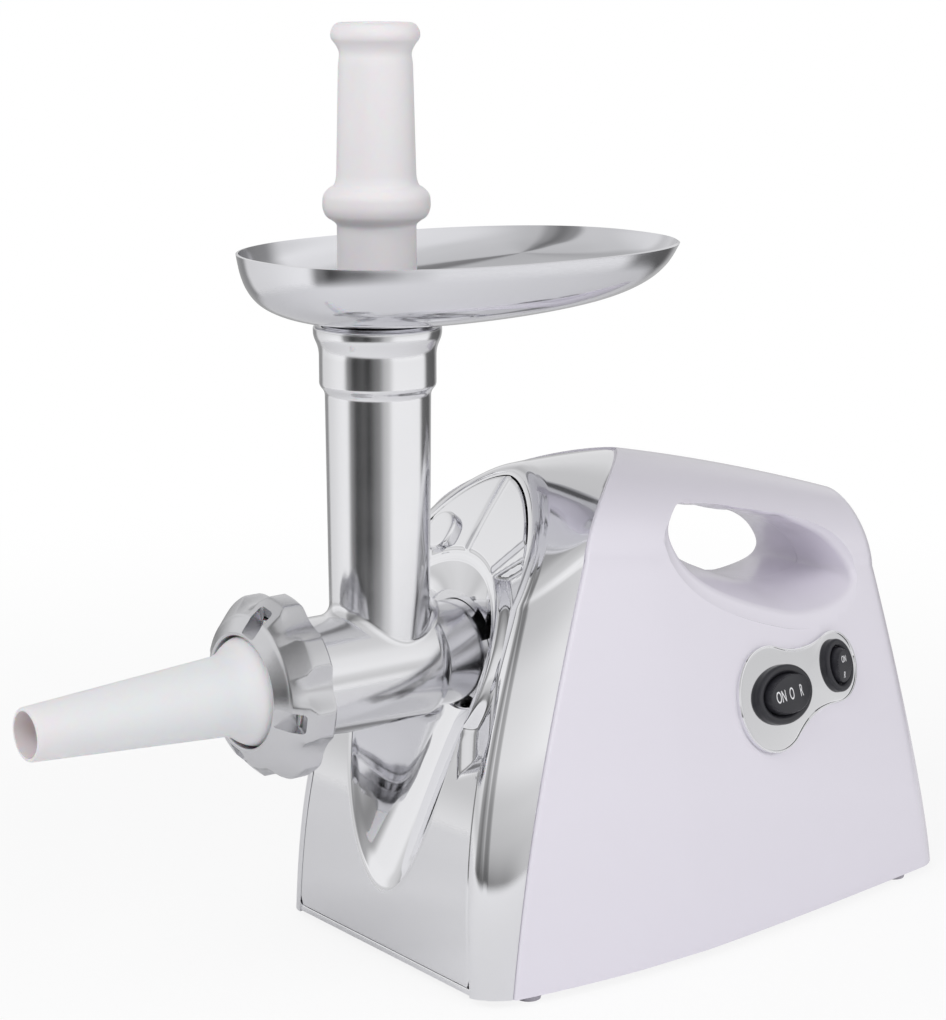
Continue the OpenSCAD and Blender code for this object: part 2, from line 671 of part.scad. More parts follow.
// ---------------------------------------------------------------- lock button
module lock_button() {
  color(chrome) on_lock() {
    translate([0, 0, lock_seat - 1]) linear_extrude(shield_proud + 3 - lock_seat) capsule(2 * lock_r, lock_h);
    translate([0, 0, shield_proud + 2 - eps]) linear_extrude(1.2) capsule(2 * lock_r - 2.4, lock_h - 2.4);
    translate([0, 0, lock_cup_end + 1.2]) cylinder(r = 3, h = -lock_cup_end - 4);
    translate([0, 0, lock_seat - 2.2]) linear_extrude(2) capsule(2 * lock_r + 2, lock_h + 2);
  }
}
module lock_spring() {
  turns = 5;
  wire = 0.45;
  floor_h = lock_cup_end + 1.6;
  pitch = (lock_seat - 2.2 - floor_h - 2 * wire) / (turns - 1);  // the last ring meets the flange
  color(steel) on_lock() for (i = [0:turns - 1]) translate([0, 0, floor_h + wire + pitch * i])
    rotate_extrude() translate([4.2, 0]) circle(r = wire, $fn = 16);
}

// ---------------------------------------------------------------- gears
pressure_a = 22;
backlash = 0.12;
function involute(rb, r) = let (a = acos(min(1, rb / r))) tan(a) * 180 / PI - a;
// Half tooth angle at radius r of a gear with z teeth and module m.
function half_tooth(z, m, r) = let (rp = m * z / 2, rb = rp * cos(pressure_a), rr = max(r, rb * 1.0005))
  90 / z - backlash * m * 90 / (PI * rp) * 2 + involute(rb, rp) - involute(rb, rr);
function polar(r, a) = [r * cos(a), r * sin(a)];
module gear_shape(z, m) {
  rp = m * z / 2;
  tip = rp + 0.92 * m;
  root = rp - 1.2 * m;
  mid = rp - 0.35 * m;
  polygon([for (i = [0:z - 1]) let (c = 360 * i / z) each [
    polar(root, c - half_tooth(z, m, mid) - 10 / z),
    polar(mid, c - half_tooth(z, m, mid)),
    polar(tip, c - half_tooth(z, m, tip)),
    polar(tip, c + half_tooth(z, m, tip)),
    polar(mid, c + half_tooth(z, m, mid)),
    polar(root, c + half_tooth(z, m, mid) + 10 / z)]]);
}
out_d = out_module * (out_teeth + pinion_teeth) / 2;
in_d = in_module * (wheel_teeth + pinion_teeth) / 2;
drop = axis_z - motor_z;
inter_y = drop - (in_d * in_d - out_d * out_d + drop * drop) / (2 * drop);
inter_x = sqrt(out_d * out_d - inter_y * inter_y);
out_angle = atan2(inter_y, inter_x);
in_angle = atan2(drop - inter_y, -inter_x);
// Stations along the axis, counted from the feed-tube axis.
funnel_end = throat_y + 1;               // rear of the panel's funnel, seated on the socket
socket_y = funnel_end;
lug_y = socket_y + 4;
lug_l = 4;
lug_r = 27.2;
neck_end = lug_y + lug_l + 3;
cover_y = front_y(axis_h + out_module * out_teeth / 2 + 8) + cowl_wall + pocket_depth + 13;
cover_t = 3;
gear_y = cover_y + cover_t + 3;
gear_t = 12;
wheel_y = gear_y + gear_t + 2;
wheel_t = 8;
case_end = wheel_y + wheel_t + 8;
case_wall = 3;
shaft_r = 4;
square_w = 8;
module gearbox_outline(grow) {
  offset(r = grow) hull() {
    circle(r = out_module * out_teeth / 2 + 5);
    translate([inter_x, inter_y]) circle(r = in_module * wheel_teeth / 2 + 4);
    translate([0, drop]) circle(r = 18);
  }
}
gearbox_screw_spots = [[-30, -30], [30, -30], [-41, 11], [-14, drop + 13.6], [14, drop + 13.6],
  [inter_x + 32, inter_y - 15.6]];
module output_gear() {
  color(steel) along_axis(0) {
    difference() {
      union() {
        translate([0, 0, gear_y]) linear_extrude(gear_t) rotate(out_angle)
          gear_shape(out_teeth, out_module);
        translate([0, 0, neck_end + 2]) cylinder(r = 14, h = gear_y - neck_end - 2 + eps);
        translate([0, 0, gear_y]) cylinder(r = 12, h = gear_t + 4);
        translate([0, 0, gear_y]) cylinder(r = 7.5, h = case_end - gear_y - 3);
      }
      translate([0, 0, neck_end + 1]) linear_extrude(17)
        square(square_w + 2 + 2 * 0.15, center = true);
      for (a = [0:60:300]) rotate(a + 30) translate([24, 0, gear_y - 1])
        cylinder(r = 6, h = gear_t + 2, $fn = 32);
    }
  }
}
module output_bearing() {
  color("goldenrod") along_axis(0) {
    translate([0, 0, cover_y - 3]) difference() {
      cylinder(r = 17, h = cover_t + 4.5);
      translate([0, 0, -1]) cylinder(r = 14 + fit, h = 20);
    }
    translate([0, 0, case_end - 7]) difference() {
      cylinder(r = 10, h = 4);
      translate([0, 0, -1]) cylinder(r = 7.5 + fit, h = 20);
    }
  }
}
module intermediate_shaft() {
  color(steel) along_axis(0) translate([inter_x, inter_y, cover_y + 1.5])
    cylinder(r = shaft_r, h = case_end - cover_y - 3);
}
module intermediate_gear() {
  color(milky) along_axis(0) translate([inter_x, inter_y, 0]) difference() {
    union() {
      translate([0, 0, gear_y - 1]) linear_extrude(gear_t + 2) rotate(out_angle + 180 + 180 / pinion_teeth)
        gear_shape(pinion_teeth, out_module);
      translate([0, 0, wheel_y]) linear_extrude(wheel_t)
        rotate(in_angle + 180 / wheel_teeth * (wheel_teeth % 2)) gear_shape(wheel_teeth, in_module);
      translate([0, 0, wheel_y - 1.4]) cylinder(r = 12, h = wheel_t + 3);
    }
    translate([0, 0, gear_y - 2]) cylinder(r = shaft_r + fit, h = 60);
  }
}
module gearbox_cover() {
  color(steel) along_axis(cover_y) difference() {
    linear_extrude(cover_t) gearbox_outline(case_wall);
    translate([0, 0, -1]) cylinder(r = 17, h = cover_t + 2);
    translate([inter_x, inter_y, 1.5]) cylinder(r = shaft_r, h = cover_t + 2);
    for (p = gearbox_screw_spots) translate([p[0], p[1], -1]) cylinder(r = 1.7, h = cover_t + 2, $fn = 24);
  }
}
module gearbox_case() {
  color(steel) along_axis(cover_y + cover_t) {
    l = case_end - cover_y - cover_t;
    difference() {
      linear_extrude(l) gearbox_outline(case_wall);
      translate([0, 0, -1]) linear_extrude(l - 3 + 1) gearbox_outline(0);
      translate([0, drop, -1]) cylinder(r = shaft_r + 3, h = l + 2);
      translate([inter_x, inter_y, l - 3 - eps]) cylinder(r = shaft_r, h = 1.5);
    }
    translate([0, 0, l - 7]) difference() {
      cylinder(r = 13, h = 4 + eps);
      translate([0, 0, -1]) cylinder(r = 10, h = 10);
    }
  }
}
module gearbox_screws() {
  color(steel) along_axis(cover_y) for (p = gearbox_screw_spots) translate([p[0], p[1], 0]) {
    translate([0, 0, -1.8]) cylinder(r = 3, h = 1.8, $fn = 24);
    cylinder(r = 1.7, h = cover_t, $fn = 24);
  }
}
module head_socket() {
  color(cast) along_axis(socket_y) difference() {
    union() {
      cylinder(r = lug_r + gap + 3, h = cover_y - socket_y);
      translate([0, 0, cover_y - socket_y - 3]) cylinder(r = 38, h = 3);
    }
    translate([0, 0, -1]) cylinder(r = neck_r + gap, h = neck_end - socket_y + 2);
    translate([0, 0, lug_y - socket_y - gap]) cylinder(r = lug_r + gap, h = lug_l + 2 * gap);
    for (a = [0:120:240]) rotate(a + unlock_turn - 90) translate([0, 0, -1])
      linear_extrude(lug_y - socket_y + 2) lug_shape(lug_r + gap / 2, 17);
    translate([0, 0, neck_end - socket_y]) cylinder(r = 17, h = 30);
  }
}
module lug_shape(r, half_a) {
  polygon([[0, 0], polar(r, -half_a), polar(r, -half_a / 2), polar(r, 0), polar(r, half_a / 2),
    polar(r, half_a)]);
}

// ---------------------------------------------------------------- motor
fan_y = case_end + 14;
core_y = fan_y + 20;
comm_y = core_y + stack_l + 12;
comm_l = 14;
comm_mid = comm_y + comm_l / 2;
rear_bracket_y = comm_y + comm_l + 14;
bracket_t = 4;
stator_half = 36;
coil_y = 22;                             // middle of each field coil off the motor axis
coil_w = 12;
coil_reach = 7;                          // of a coil's end beyond the stack
winding_r = coil_y - coil_w / 2 - 1;     // the armature's end windings turn inside the coils
bearing_r = 8;
module at_motor(y) { along_axis(y) translate([0, drop, 0]) children(); }
module armature_shaft() {
  color(steel) {
    at_motor(wheel_y - 1) cylinder(r = shaft_r - 0.5, h = rear_bracket_y + bracket_t - wheel_y + 2);
    at_motor(wheel_y) linear_extrude(wheel_t) rotate(in_angle + 180 + 180 / pinion_teeth)
      gear_shape(pinion_teeth, in_module);
  }
}
module armature_core() {
  color("firebrick") at_motor(core_y) difference() {
    union() {
      linear_extrude(stack_l) difference() {
        circle(r = armature_r);
        for (a = [0:30:330]) rotate(a) translate([armature_r, 0]) square([9, 3], center = true);
      }
      translate([0, 0, -7]) cylinder(r1 = winding_r - 3, r2 = winding_r, h = 7 + eps);
      translate([0, 0, stack_l - eps]) cylinder(r1 = winding_r, r2 = winding_r - 3, h = 8);
    }
    translate([0, 0, -10]) cylinder(r = shaft_r - 0.5, h = 100);
  }
}
module commutator() {
  color("peru") at_motor(comm_y) difference() {
    linear_extrude(comm_l) difference() {
      circle(r = 11);
      for (a = [0:15:345]) rotate(a) translate([11, 0]) square([1.6, 0.7], center = true);
    }
    translate([0, 0, -1]) cylinder(r = shaft_r - 0.5, h = 30);
  }
}
module cooling_fan() {
  color(black) at_motor(fan_y) difference() {
    union() {
      cylinder(r = 28, h = 2);
      cylinder(r = 9, h = 12);
      for (a = [0:36:324]) rotate(a) translate([17, -0.7, 0]) rotate([0, 0, 20]) cube([11, 1.4, 12]);
    }
    translate([0, 0, -1]) cylinder(r = shaft_r - 0.5, h = 30);
  }
}
stud_spots = [[-28, -28], [28, -28], [-28, 28], [28, 28]];
module stator_core() {
  color(steel) at_motor(core_y) linear_extrude(stack_l) difference() {
    offset(r = 6) square(2 * stator_half - 12, center = true);
    circle(r = armature_r + 0.8);
    for (s = [-1, 1]) translate([0, coil_y * s]) square([34, 8], center = true);
    for (p = stud_spots) translate(p) circle(r = 2);
  }
}
module field_coils() {
  color("chocolate") at_motor(core_y) for (s = [-1, 1]) for (z = [-coil_reach, stack_l])
    translate([0, coil_y * s, z]) linear_extrude(coil_reach) offset(r = 3)
      square([38, coil_w - 6], center = true);
}
module bracket_plate() {
  difference() {
    union() {
      offset(r = 5) square([66 - 10, 20], center = true);
      offset(r = 5) square([20, 66 - 10], center = true);
      circle(r = 26);
      for (p = stud_spots) translate(p) circle(r = 6);
    }
    circle(r = bearing_r);
    for (p = stud_spots) translate(p) circle(r = 2);
    for (a = [45:90:315]) rotate(a) translate([18, 0]) circle(r = 5);
  }
}
module motor_front_bracket() {
  color(steel) at_motor(case_end) linear_extrude(bracket_t) bracket_plate();
}
module motor_rear_bracket() {
  color(steel) at_motor(rear_bracket_y) linear_extrude(bracket_t) bracket_plate();
}
module motor_bearings() {
  color(steel) for (y = [case_end, rear_bracket_y]) at_motor(y) difference() {
    cylinder(r = bearing_r, h = bracket_t);
    translate([0, 0, -1]) cylinder(r = shaft_r - 0.5 + fit, h = 20);
  }
}
module motor_studs() {
  color(steel) at_motor(0) for (p = stud_spots) translate([p[0], p[1], 0]) {
    translate([0, 0, case_end]) cylinder(r = 2, h = rear_bracket_y + bracket_t - case_end + 1);
    translate([0, 0, case_end + bracket_t]) cylinder(r = 4, h = core_y - case_end - bracket_t);
    translate([0, 0, core_y + stack_l]) cylinder(r = 4, h = rear_bracket_y - core_y - stack_l);
    translate([0, 0, rear_bracket_y + bracket_t]) cylinder(r = 3.6, h = 3, $fn = 6);
  }
}
module brush_holders() {
  color("goldenrod") at_motor(comm_mid) for (s = [0, 180]) rotate(s) translate([13, 0, 0])
    rotate([0, 90, 0]) difference() {
      union() {
        translate([0, 0, 9]) cube([12, 9, 18], center = true);
        translate([comm_mid - rear_bracket_y, -4.5, 11]) cube([rear_bracket_y - comm_mid, 9, 6]);
      }
      translate([0, 0, 9]) cube([8.1, 5.1, 19], center = true);
    }
}
module carbon_brushes() {
  color(black) at_motor(comm_mid) for (s = [0, 180]) rotate(s) translate([11.3, 0, 0])
    rotate([0, 90, 0]) translate([0, 0, 7]) cube([8, 5, 14], center = true);
}
module base_screws() {
  color(steel) on_body() for (p = base_screw_spots) translate([p[0], p[1], 0]) {
    translate([0, 0, -1.6]) cylinder(r = 3.4, h = 1.6, $fn = 24);
    cylinder(r = 1.9, h = 14, $fn = 24);
  }
}
module housing_screws() {
  color(steel) on_body() for (p = housing_screw_spots) translate([0, p[0], p[1]]) rotate([0, 90, 0]) {
    translate([0, 0, boss_seat_x - 2.4]) cylinder(r = 3.4, h = 2.4, $fn = 24);
    translate([0, 0, boss_seat_x]) cylinder(r = 1.8, h = 12 - boss_seat_x, $fn = 24);
  }
}

// ---------------------------------------------------------------- grinder head
flange_r = 33.2;
flange_l = 8.4;
plate_h = 5;
plate_r = 27;                            // a size 5 cutting plate
mouth_y = -mouth_reach;
plate_front = mouth_y - 0.5;
bore_end = 18;
module grinder_head() {
  color(cast) {
    difference() {
      union() {
        along_axis(0) rotate_extrude() polygon([
          [0, mouth_y], [flange_r, mouth_y], [flange_r, mouth_y + flange_l],
          [barrel_r, mouth_y + flange_l], [barrel_r, shoulder_y - 5], [barrel_r - 0.6, shoulder_y - 2.4],
          [barrel_r - 2, shoulder_y - 0.6], [neck_r, shoulder_y], [neck_r, neck_end], [0, neck_end]]);
        placed() translate([0, 0, axis_z]) rotate_extrude() polygon([
          [0, 0], [tube_r - 0.8, 0], [tube_r, collar_z - axis_z - 3], [collar_r, collar_z - axis_z],
          [collar_r, tube_top_z - axis_z - 8], [lip_r, tube_top_z - axis_z - 3],
          [lip_r, tube_top_z - axis_z], [0, tube_top_z - axis_z]]);
        for (a = [0:120:240]) along_axis(lug_y) rotate(a - 90) linear_extrude(lug_l)
          lug_shape(lug_r, 14);
      }
      along_axis(mouth_y - 1) cylinder(r = barrel_bore_r, h = bore_end - mouth_y + 1);
      along_axis(mouth_y - 1) cylinder(r = plate_r + 0.1, h = plate_h + 0.5);
      along_axis(0) cylinder(r = bush_r, h = neck_end + 1);
      placed() translate([0, 0, axis_z]) cylinder(r = tube_bore_r, h = 200);
      placed() translate([0, 0, collar_z]) cylinder(r = neck_out_r + 0.15, h = 60);
    }
  }
}
bush_r = 15;
journal_r = 11;
module auger_bush() {
  color(milky) along_axis(0) difference() {
    union() {
      translate([0, 0, bore_end - 2.5]) cylinder(r = 19, h = 2.5);
      translate([0, 0, bore_end - eps]) cylinder(r = bush_r, h = neck_end - bore_end);
    }
    translate([0, 0, 0]) cylinder(r = journal_r + fit, h = 90);
  }
}
flight_r = barrel_bore_r - 0.6;
auger_front = mouth_y + plate_h + 7.6;
flight_end = bore_end - 4;
flight_turns = 2.6;
flight_steps = 22;
// The helical flight is swept along the barrel; it thins out towards its rim.
module flight() {
  n = ceil(flight_turns * flight_steps);
  l = flight_end - auger_front - 5;
  core = 8.6;
  pts = [for (i = [0:n]) let (a = 360 * flight_turns * i / n, z = auger_front + 1.5 + l * i / n,
    c = cos(a), s = sin(a))
    each [[core * c, core * s, z - 1.4], [flight_r * c, flight_r * s, z + 0.6],
      [flight_r * c, flight_r * s, z + 2.2], [core * c, core * s, z + 4]]];
  sides = [for (i = [0:n - 1]) for (j = [0:3]) let (a = 4 * i + j, b = 4 * i + (j + 1) % 4)
    each [[a, b, a + 4], [b, b + 4, a + 4]]];
  polyhedron(pts, concat(sides, [[3, 2, 1, 0], [4 * n, 4 * n + 1, 4 * n + 2, 4 * n + 3]]));
}
drive_end = neck_end + 15;
module auger() {
  color(cast) along_axis(0) {
    flight();
    rotate_extrude() polygon([
      [0, plate_front + 0.8], [4, plate_front + 0.8], [4, auger_front - 7.4], [3.7, auger_front - 7.1],
      [3.7, auger_front], [9, auger_front], [13, flight_end - 3], [18, flight_end], [18, bore_end - 2.8],
      [journal_r, bore_end - 2.8], [journal_r, neck_end + 0.5], [0, neck_end + 0.5]]);
    translate([0, 0, auger_front - 7.2]) linear_extrude(7.4) square(square_w, center = true);
    translate([0, 0, neck_end]) linear_extrude(drive_end - neck_end) square(square_w + 2, center = true);
  }
}
knife_t = 6.6;
module knife() {
  color(steel) along_axis(plate_front + plate_h + 0.25) difference() {
    union() {
      cylinder(r = 10, h = knife_t);
      for (a = [0:90:270]) rotate(a) linear_extrude(knife_t) polygon([[0, -4.5], [9, -5], [22.6, -2],
        [22.6, 4], [9, 3.6], [0, 4.5]]);
    }
    translate([0, 0, -1]) linear_extrude(knife_t + 2) square(square_w + 0.2, center = true);
    for (a = [0:90:270]) rotate(a) translate([10, 1.6, 2.4]) rotate([24, 0, 0]) cube([16, 12, 12]);
  }
}
module cutting_plate() {
  color(steel) along_axis(plate_front) difference() {
    cylinder(r = plate_r, h = plate_h);
    translate([0, 0, -1]) cylinder(r = 4 + fit, h = plate_h + 2);
    for (ring = [[8, 10], [13, 16], [19, 22.2]]) for (i = [0:ring[0] - 1])
      rotate(360 * i / ring[0]) translate([ring[1], 0, -1]) cylinder(r = 2.3, h = plate_h + 2, $fn = 24);
    translate([0, plate_r, -1]) cylinder(r = 2, h = plate_h + 2, $fn = 24);
  }
}

// ---------------------------------------------------------------- ring nut and nozzle
nut_rear = mouth_y + flange_l + 0.6;
nut_front = nut_rear - nut_l;
nozzle_flange_r = 31;
nozzle_flange_t = 2.6;
flange_front = plate_front - nozzle_flange_t;
nut_bore_r = flange_r + gap;
valley_depth = 4.4;
valley_half_a = 15.5;
module ring_nut() {
  chord = nut_r * sin(valley_half_a);
  sag = nut_r * (1 - cos(valley_half_a)) + valley_depth;
  cut_r = (chord * chord + sag * sag) / (2 * sag);
  color(cast) along_axis(0) rotate(-12) difference() {
    rotate_extrude($fn = 128) polygon([
      [nut_hole_r, nut_front - 4], [nut_hole_r + 1.2, nut_front - 4.4], [nut_lip_r - 0.8, nut_front - 0.4],
      [nut_lip_r + 0.6, nut_front + 0.2], [nut_r - 1.6, nut_front + 7.4], [nut_r, nut_front + 9.4],
      [nut_r, nut_rear - 1], [nut_r - 1, nut_rear], [nut_bore_r, nut_rear], [nut_bore_r, flange_front - 0.2],
      [nut_hole_r, flange_front - 0.2]]);
    for (i = [0:nut_lobes - 1]) rotate(360 * (i + 0.5) / nut_lobes)
      translate([nut_r - valley_depth + cut_r, 0, nut_rear + 6]) rotate([0, 187, 0])
        translate([0, 0, -2]) cylinder(r = cut_r, h = 40, $fn = 96);
    for (i = [0:2:nut_lobes - 1]) rotate(360 * (i + 1) / nut_lobes)
      translate([nut_hole_r + 3, -nut_slot_w / 2, nut_front - 12]) rotate([0, -12, 0])
        cube([30, nut_slot_w, 11.4]);
  }
}
nozzle_bell_y = nut_front - 14;
module sausage_nozzle() {
  w = nozzle_wall;
  color(milky) along_axis(0) rotate_extrude() polygon([
    [nozzle_tip_r - w, -nozzle_reach], [nozzle_tip_r - 0.4, -nozzle_reach],
    [nozzle_tip_r, -nozzle_reach + 0.6],
    [nozzle_root_r, nozzle_bell_y], [nozzle_root_r + 1.6, nozzle_bell_y + 4.5],
    [nut_hole_r - 2.6, nozzle_bell_y + 8.4], [nut_hole_r - 1, nozzle_bell_y + 12],
    [nut_hole_r - gap, nut_front - 1], [nut_hole_r - gap, flange_front], [nozzle_flange_r, flange_front],
    [nozzle_flange_r, plate_front], [nut_hole_r - gap - 2 * w, plate_front],
    [nut_hole_r - gap - 2 * w, nut_front + 1], [nut_hole_r - 1 - 2 * w, nozzle_bell_y + 12.6],
    [nozzle_root_r + 1.2 - w, nozzle_bell_y + 5], [nozzle_root_r - w, nozzle_bell_y]]);
}

// ---------------------------------------------------------------- tray and pusher
neck_out_r = 22.9;
neck_l = 22;
tray_floor_z = tube_top_z + 3.4;
// Superellipse rings; t is 0 at the floor and 1 at the rim, d is an inset for the inner face.
tray_curve = [[0, 0], [0.3, 0.05], [0.55, 0.14], [0.74, 0.27], [0.87, 0.46], [0.95, 0.7], [1, 1]];
tray_floor_r = neck_out_r + 5;
tray_rise = tray_rim_z - tray_floor_z;
function tray_ring(c, d, z) = let (
    a = mix(tray_floor_r, tray_half_w, c[0]) - d,
    b = mix(tray_floor_r, tray_half_l, c[0]) - d,
    e = 2 / mix(2, 2.35, c[0]))
  [for (i = [71:-1:0]) let (u = cos(5 * i), v = sin(5 * i))
    [a * sign(u) * pow(abs(u), e), tray_shift * c[0] + b * sign(v) * pow(abs(v), e), z]];
module tray() {
  last = len(tray_curve) - 1;
  color(chrome) placed() difference() {
    union() {
      skin(concat(
        [for (c = tray_curve) tray_ring(c, 0, tray_floor_z + tray_rise * c[1])],
        [for (i = [last:-1:0]) let (c = tray_curve[i])
          tray_ring(c, tray_wall, tray_floor_z + tray_rise * c[1] + tray_wall * (1 - c[1]))]));
      translate([0, 0, tube_top_z + gap]) cylinder(r = neck_out_r + 4, h = 3.6);
      translate([0, 0, tube_top_z - neck_l]) cylinder(r = neck_out_r, h = neck_l + 3.6);
    }
    translate([0, 0, tube_top_z - neck_l - 1]) cylinder(r = neck_out_r - tray_wall * 1.6, h = 60);
  }
}
pusher_collar_z = pusher_top_z - 75;
module pusher() {
  top = pusher_top_z;
  c = pusher_collar_z;
  stem = c - 8 - pusher_stem_l;
  color(milky) placed() rotate_extrude() polygon([
    [0, stem], [tube_bore_r - gap - 1.2, stem], [tube_bore_r - gap, stem + 1.2],
    [tube_bore_r - gap, stem + 16], [pusher_r, stem + 44], [pusher_r, stem + 60],
    [pusher_r - 0.6, c - 11], [19.2, c - 9.4], [22, c - 7.8], [23.3, c - 5], [23.5, c - 2], [22.9, c + 1.4],
    [20.6, c + 4], [18.6, c + 5.2], [17.6, c + 6.8], [17.3, c + 9], [16, top - 17],
    [15.4, top - 13.4], [15.6, top - 11.4], [17, top - 9.6], [18.8, top - 8],
    [19.2, top - 6], [18.8, top - 3.4], [17.2, top - 1.2], [14.8, top - 0.2], [13, top - 1.4],
    [12, top - 2.4], [0, top - 2.6]]);
}

housing_right();
housing_left();
cowl_frame();
front_panel();
base_plate();
feet();
cord_grommet();
switch_plate();
main_switch_body();
main_rocker();
reverse_switch_body();
reverse_rocker();
lock_button();
lock_spring();
head_socket();
gearbox_cover();
gearbox_case();
output_bearing();
output_gear();
intermediate_shaft();
intermediate_gear();
armature_shaft();
armature_core();
commutator();
cooling_fan();
stator_core();
field_coils();
motor_front_bracket();
motor_rear_bracket();
motor_bearings();
brush_holders();
carbon_brushes();
motor_studs();
gearbox_screws();
base_screws();
housing_screws();
grinder_head();
auger_bush();
auger();
knife();
cutting_plate();
ring_nut();
sausage_nozzle();
tray();
pusher();
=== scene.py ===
# %% [markdown]
# # An electric meat grinder
# This lesson dresses a finished CAD model of a meat grinder. The CAD solids hold the real sizes
# and the joints. The pieces that show get smooth skins here, and every finish is made of nodes.
# Everything is in metres, with X towards the switches, Y towards the rear and Z up.

import math

import bmesh
import bpy
from mathutils import Matrix, Vector


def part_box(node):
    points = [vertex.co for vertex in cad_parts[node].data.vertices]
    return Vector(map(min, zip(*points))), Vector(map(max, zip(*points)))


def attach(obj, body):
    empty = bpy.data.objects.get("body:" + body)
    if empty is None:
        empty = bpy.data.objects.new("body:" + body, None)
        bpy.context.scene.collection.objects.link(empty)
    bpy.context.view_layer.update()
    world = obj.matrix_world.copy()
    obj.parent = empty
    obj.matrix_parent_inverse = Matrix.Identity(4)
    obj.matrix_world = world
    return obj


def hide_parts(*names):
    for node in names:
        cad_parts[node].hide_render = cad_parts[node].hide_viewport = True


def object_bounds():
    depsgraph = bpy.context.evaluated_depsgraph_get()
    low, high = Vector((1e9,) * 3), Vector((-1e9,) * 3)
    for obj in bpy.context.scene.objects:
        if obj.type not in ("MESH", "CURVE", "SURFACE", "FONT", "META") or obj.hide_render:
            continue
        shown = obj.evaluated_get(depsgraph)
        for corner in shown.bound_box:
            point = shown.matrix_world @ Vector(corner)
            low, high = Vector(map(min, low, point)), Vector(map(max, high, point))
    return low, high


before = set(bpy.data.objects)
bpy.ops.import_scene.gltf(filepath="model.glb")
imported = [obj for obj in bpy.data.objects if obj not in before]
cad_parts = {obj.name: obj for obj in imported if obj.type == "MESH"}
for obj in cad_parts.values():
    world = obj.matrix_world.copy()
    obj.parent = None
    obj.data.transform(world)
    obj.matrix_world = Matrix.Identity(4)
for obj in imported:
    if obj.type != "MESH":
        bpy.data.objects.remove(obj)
cad_box = [list(corner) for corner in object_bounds()]
MM = 0.001
print("CAD nodes:", len(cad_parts), "box:", cad_box)

# %% [markdown]
# ## Places taken from the CAD
# The pusher stands in the feed tube, so its middle gives the tube's axis. The ring nut turns on
# the barrel, so its middle gives the barrel's height. The cowl gives the body's bottom edge.

# %% Main places
pusher_low, pusher_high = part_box("pusher")
nut_low, nut_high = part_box("ring_nut")
TUBE_Y = (pusher_low.y + pusher_high.y) / 2 / MM
AXIS_Z = (nut_low.z + nut_high.z) / 2 / MM
BODY_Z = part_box("cowl_frame")[0].z / MM


def place(x, y, z):
    """A point in millimetres, with y counted from the tube's axis, as a point in the frame."""
    return Vector((x * MM, (y + TUBE_Y) * MM, z * MM))


print(f"tube axis at y = {TUBE_Y:.2f} mm, barrel axis at z = {AXIS_Z:.2f} mm")
print(f"body foot at z = {BODY_Z:.2f} mm")

# %% [markdown]
# ## The camera
# A long lens keeps the sides of the housing nearly parallel. The camera looks down a little and
# stands to the right of the nozzle, so the tube, the tray and the switches all show.

# %% Camera
LOOK_DOWN, LOOK_ROUND = 12.05, 52.54
camera_data = bpy.data.cameras.new("camera")
camera_data.lens = 92.2
camera_data.sensor_width = 36
camera = bpy.data.objects.new("camera", camera_data)
camera.location = place(922.8, -654.6, 452.7)
camera.rotation_euler = (math.radians(90 - LOOK_DOWN), 0, math.radians(LOOK_ROUND))
scene = bpy.context.scene
scene.collection.objects.link(camera)
scene.camera = camera
print("camera at", [round(c, 3) for c in camera.location])

# %% [markdown]
# ## Building with nodes
# The room, the floor and every finish are networks of nodes. They could be drawn by hand in the
# node editor, but a script can be read and run again. A few helpers keep it short: one adds a
# node with its settings, and the others add sums that come up again and again, and give back
# the socket that carries the result.

# %% Node helpers


def add_node(tree, kind, **settings):
    """A shader node of a kind, with settings such as its operation."""
    node = tree.nodes.new("ShaderNode" + kind)
    for setting, value in settings.items():
        setattr(node, setting, value)
    return node


def map_range(tree, source, start, stop, low=0.0, high=1.0, interpolation="LINEAR"):
    """The source's value carried over from start..stop to low..high."""
    node = add_node(tree, "MapRange", interpolation_type=interpolation)
    for label, value in (
            ("From Min", start), ("From Max", stop), ("To Min", low), ("To Max", high)):
        node.inputs[label].default_value = value
    tree.links.new(source, node.inputs["Value"])
    return node.outputs[0]


def maths(tree, operation, first, second):
    """The result of a Math node on two sockets."""
    node = add_node(tree, "Math", operation=operation)
    tree.links.new(first, node.inputs[0])
    tree.links.new(second, node.inputs[1])
    return node.outputs[0]


print("node helpers ready")

# %% [markdown]
# ## Ramps and mixes
# A ramp turns a position into a tone, and a mix chooses between two colours or two shaders. The
# studio, the floor and the finishes need no other kinds of choice.

# %% Ramps and mixes


def grey_ramp(tree, source, stops):
    """A soft ramp through (position, grey) stops, read at the source's value."""
    node = add_node(tree, "ValToRGB")
    ramp = node.color_ramp
    ramp.interpolation = "EASE"
    while len(ramp.elements) < len(stops):
        ramp.elements.new(0.5)
    for element, (position, grey) in zip(ramp.elements, stops):
        element.position = position
        element.color = (grey, grey, grey, 1)
    tree.links.new(source, node.inputs[0])
    return node.outputs["Color"]


def mix_colours(tree, share, first, second, blend="MIX"):
    """Two colours mixed by a share, which is a number or a socket."""
    node = add_node(tree, "Mix", data_type="RGBA", blend_type=blend)
    if isinstance(share, bpy.types.NodeSocket):
        tree.links.new(share, node.inputs["Factor"])
    else:
        node.inputs["Factor"].default_value = share
    tree.links.new(first, node.inputs["A"])
    tree.links.new(second, node.inputs["B"])
    return node.outputs["Result"]


def mix_shaders(tree, share, first, second):
    """Two shaders mixed by a share, all three given as sockets."""
    node = add_node(tree, "MixShader")
    for socket, source in zip(node.inputs, (share, first, second)):
        tree.links.new(source, socket)
    return node.outputs[0]


print("ramps and mixes ready")

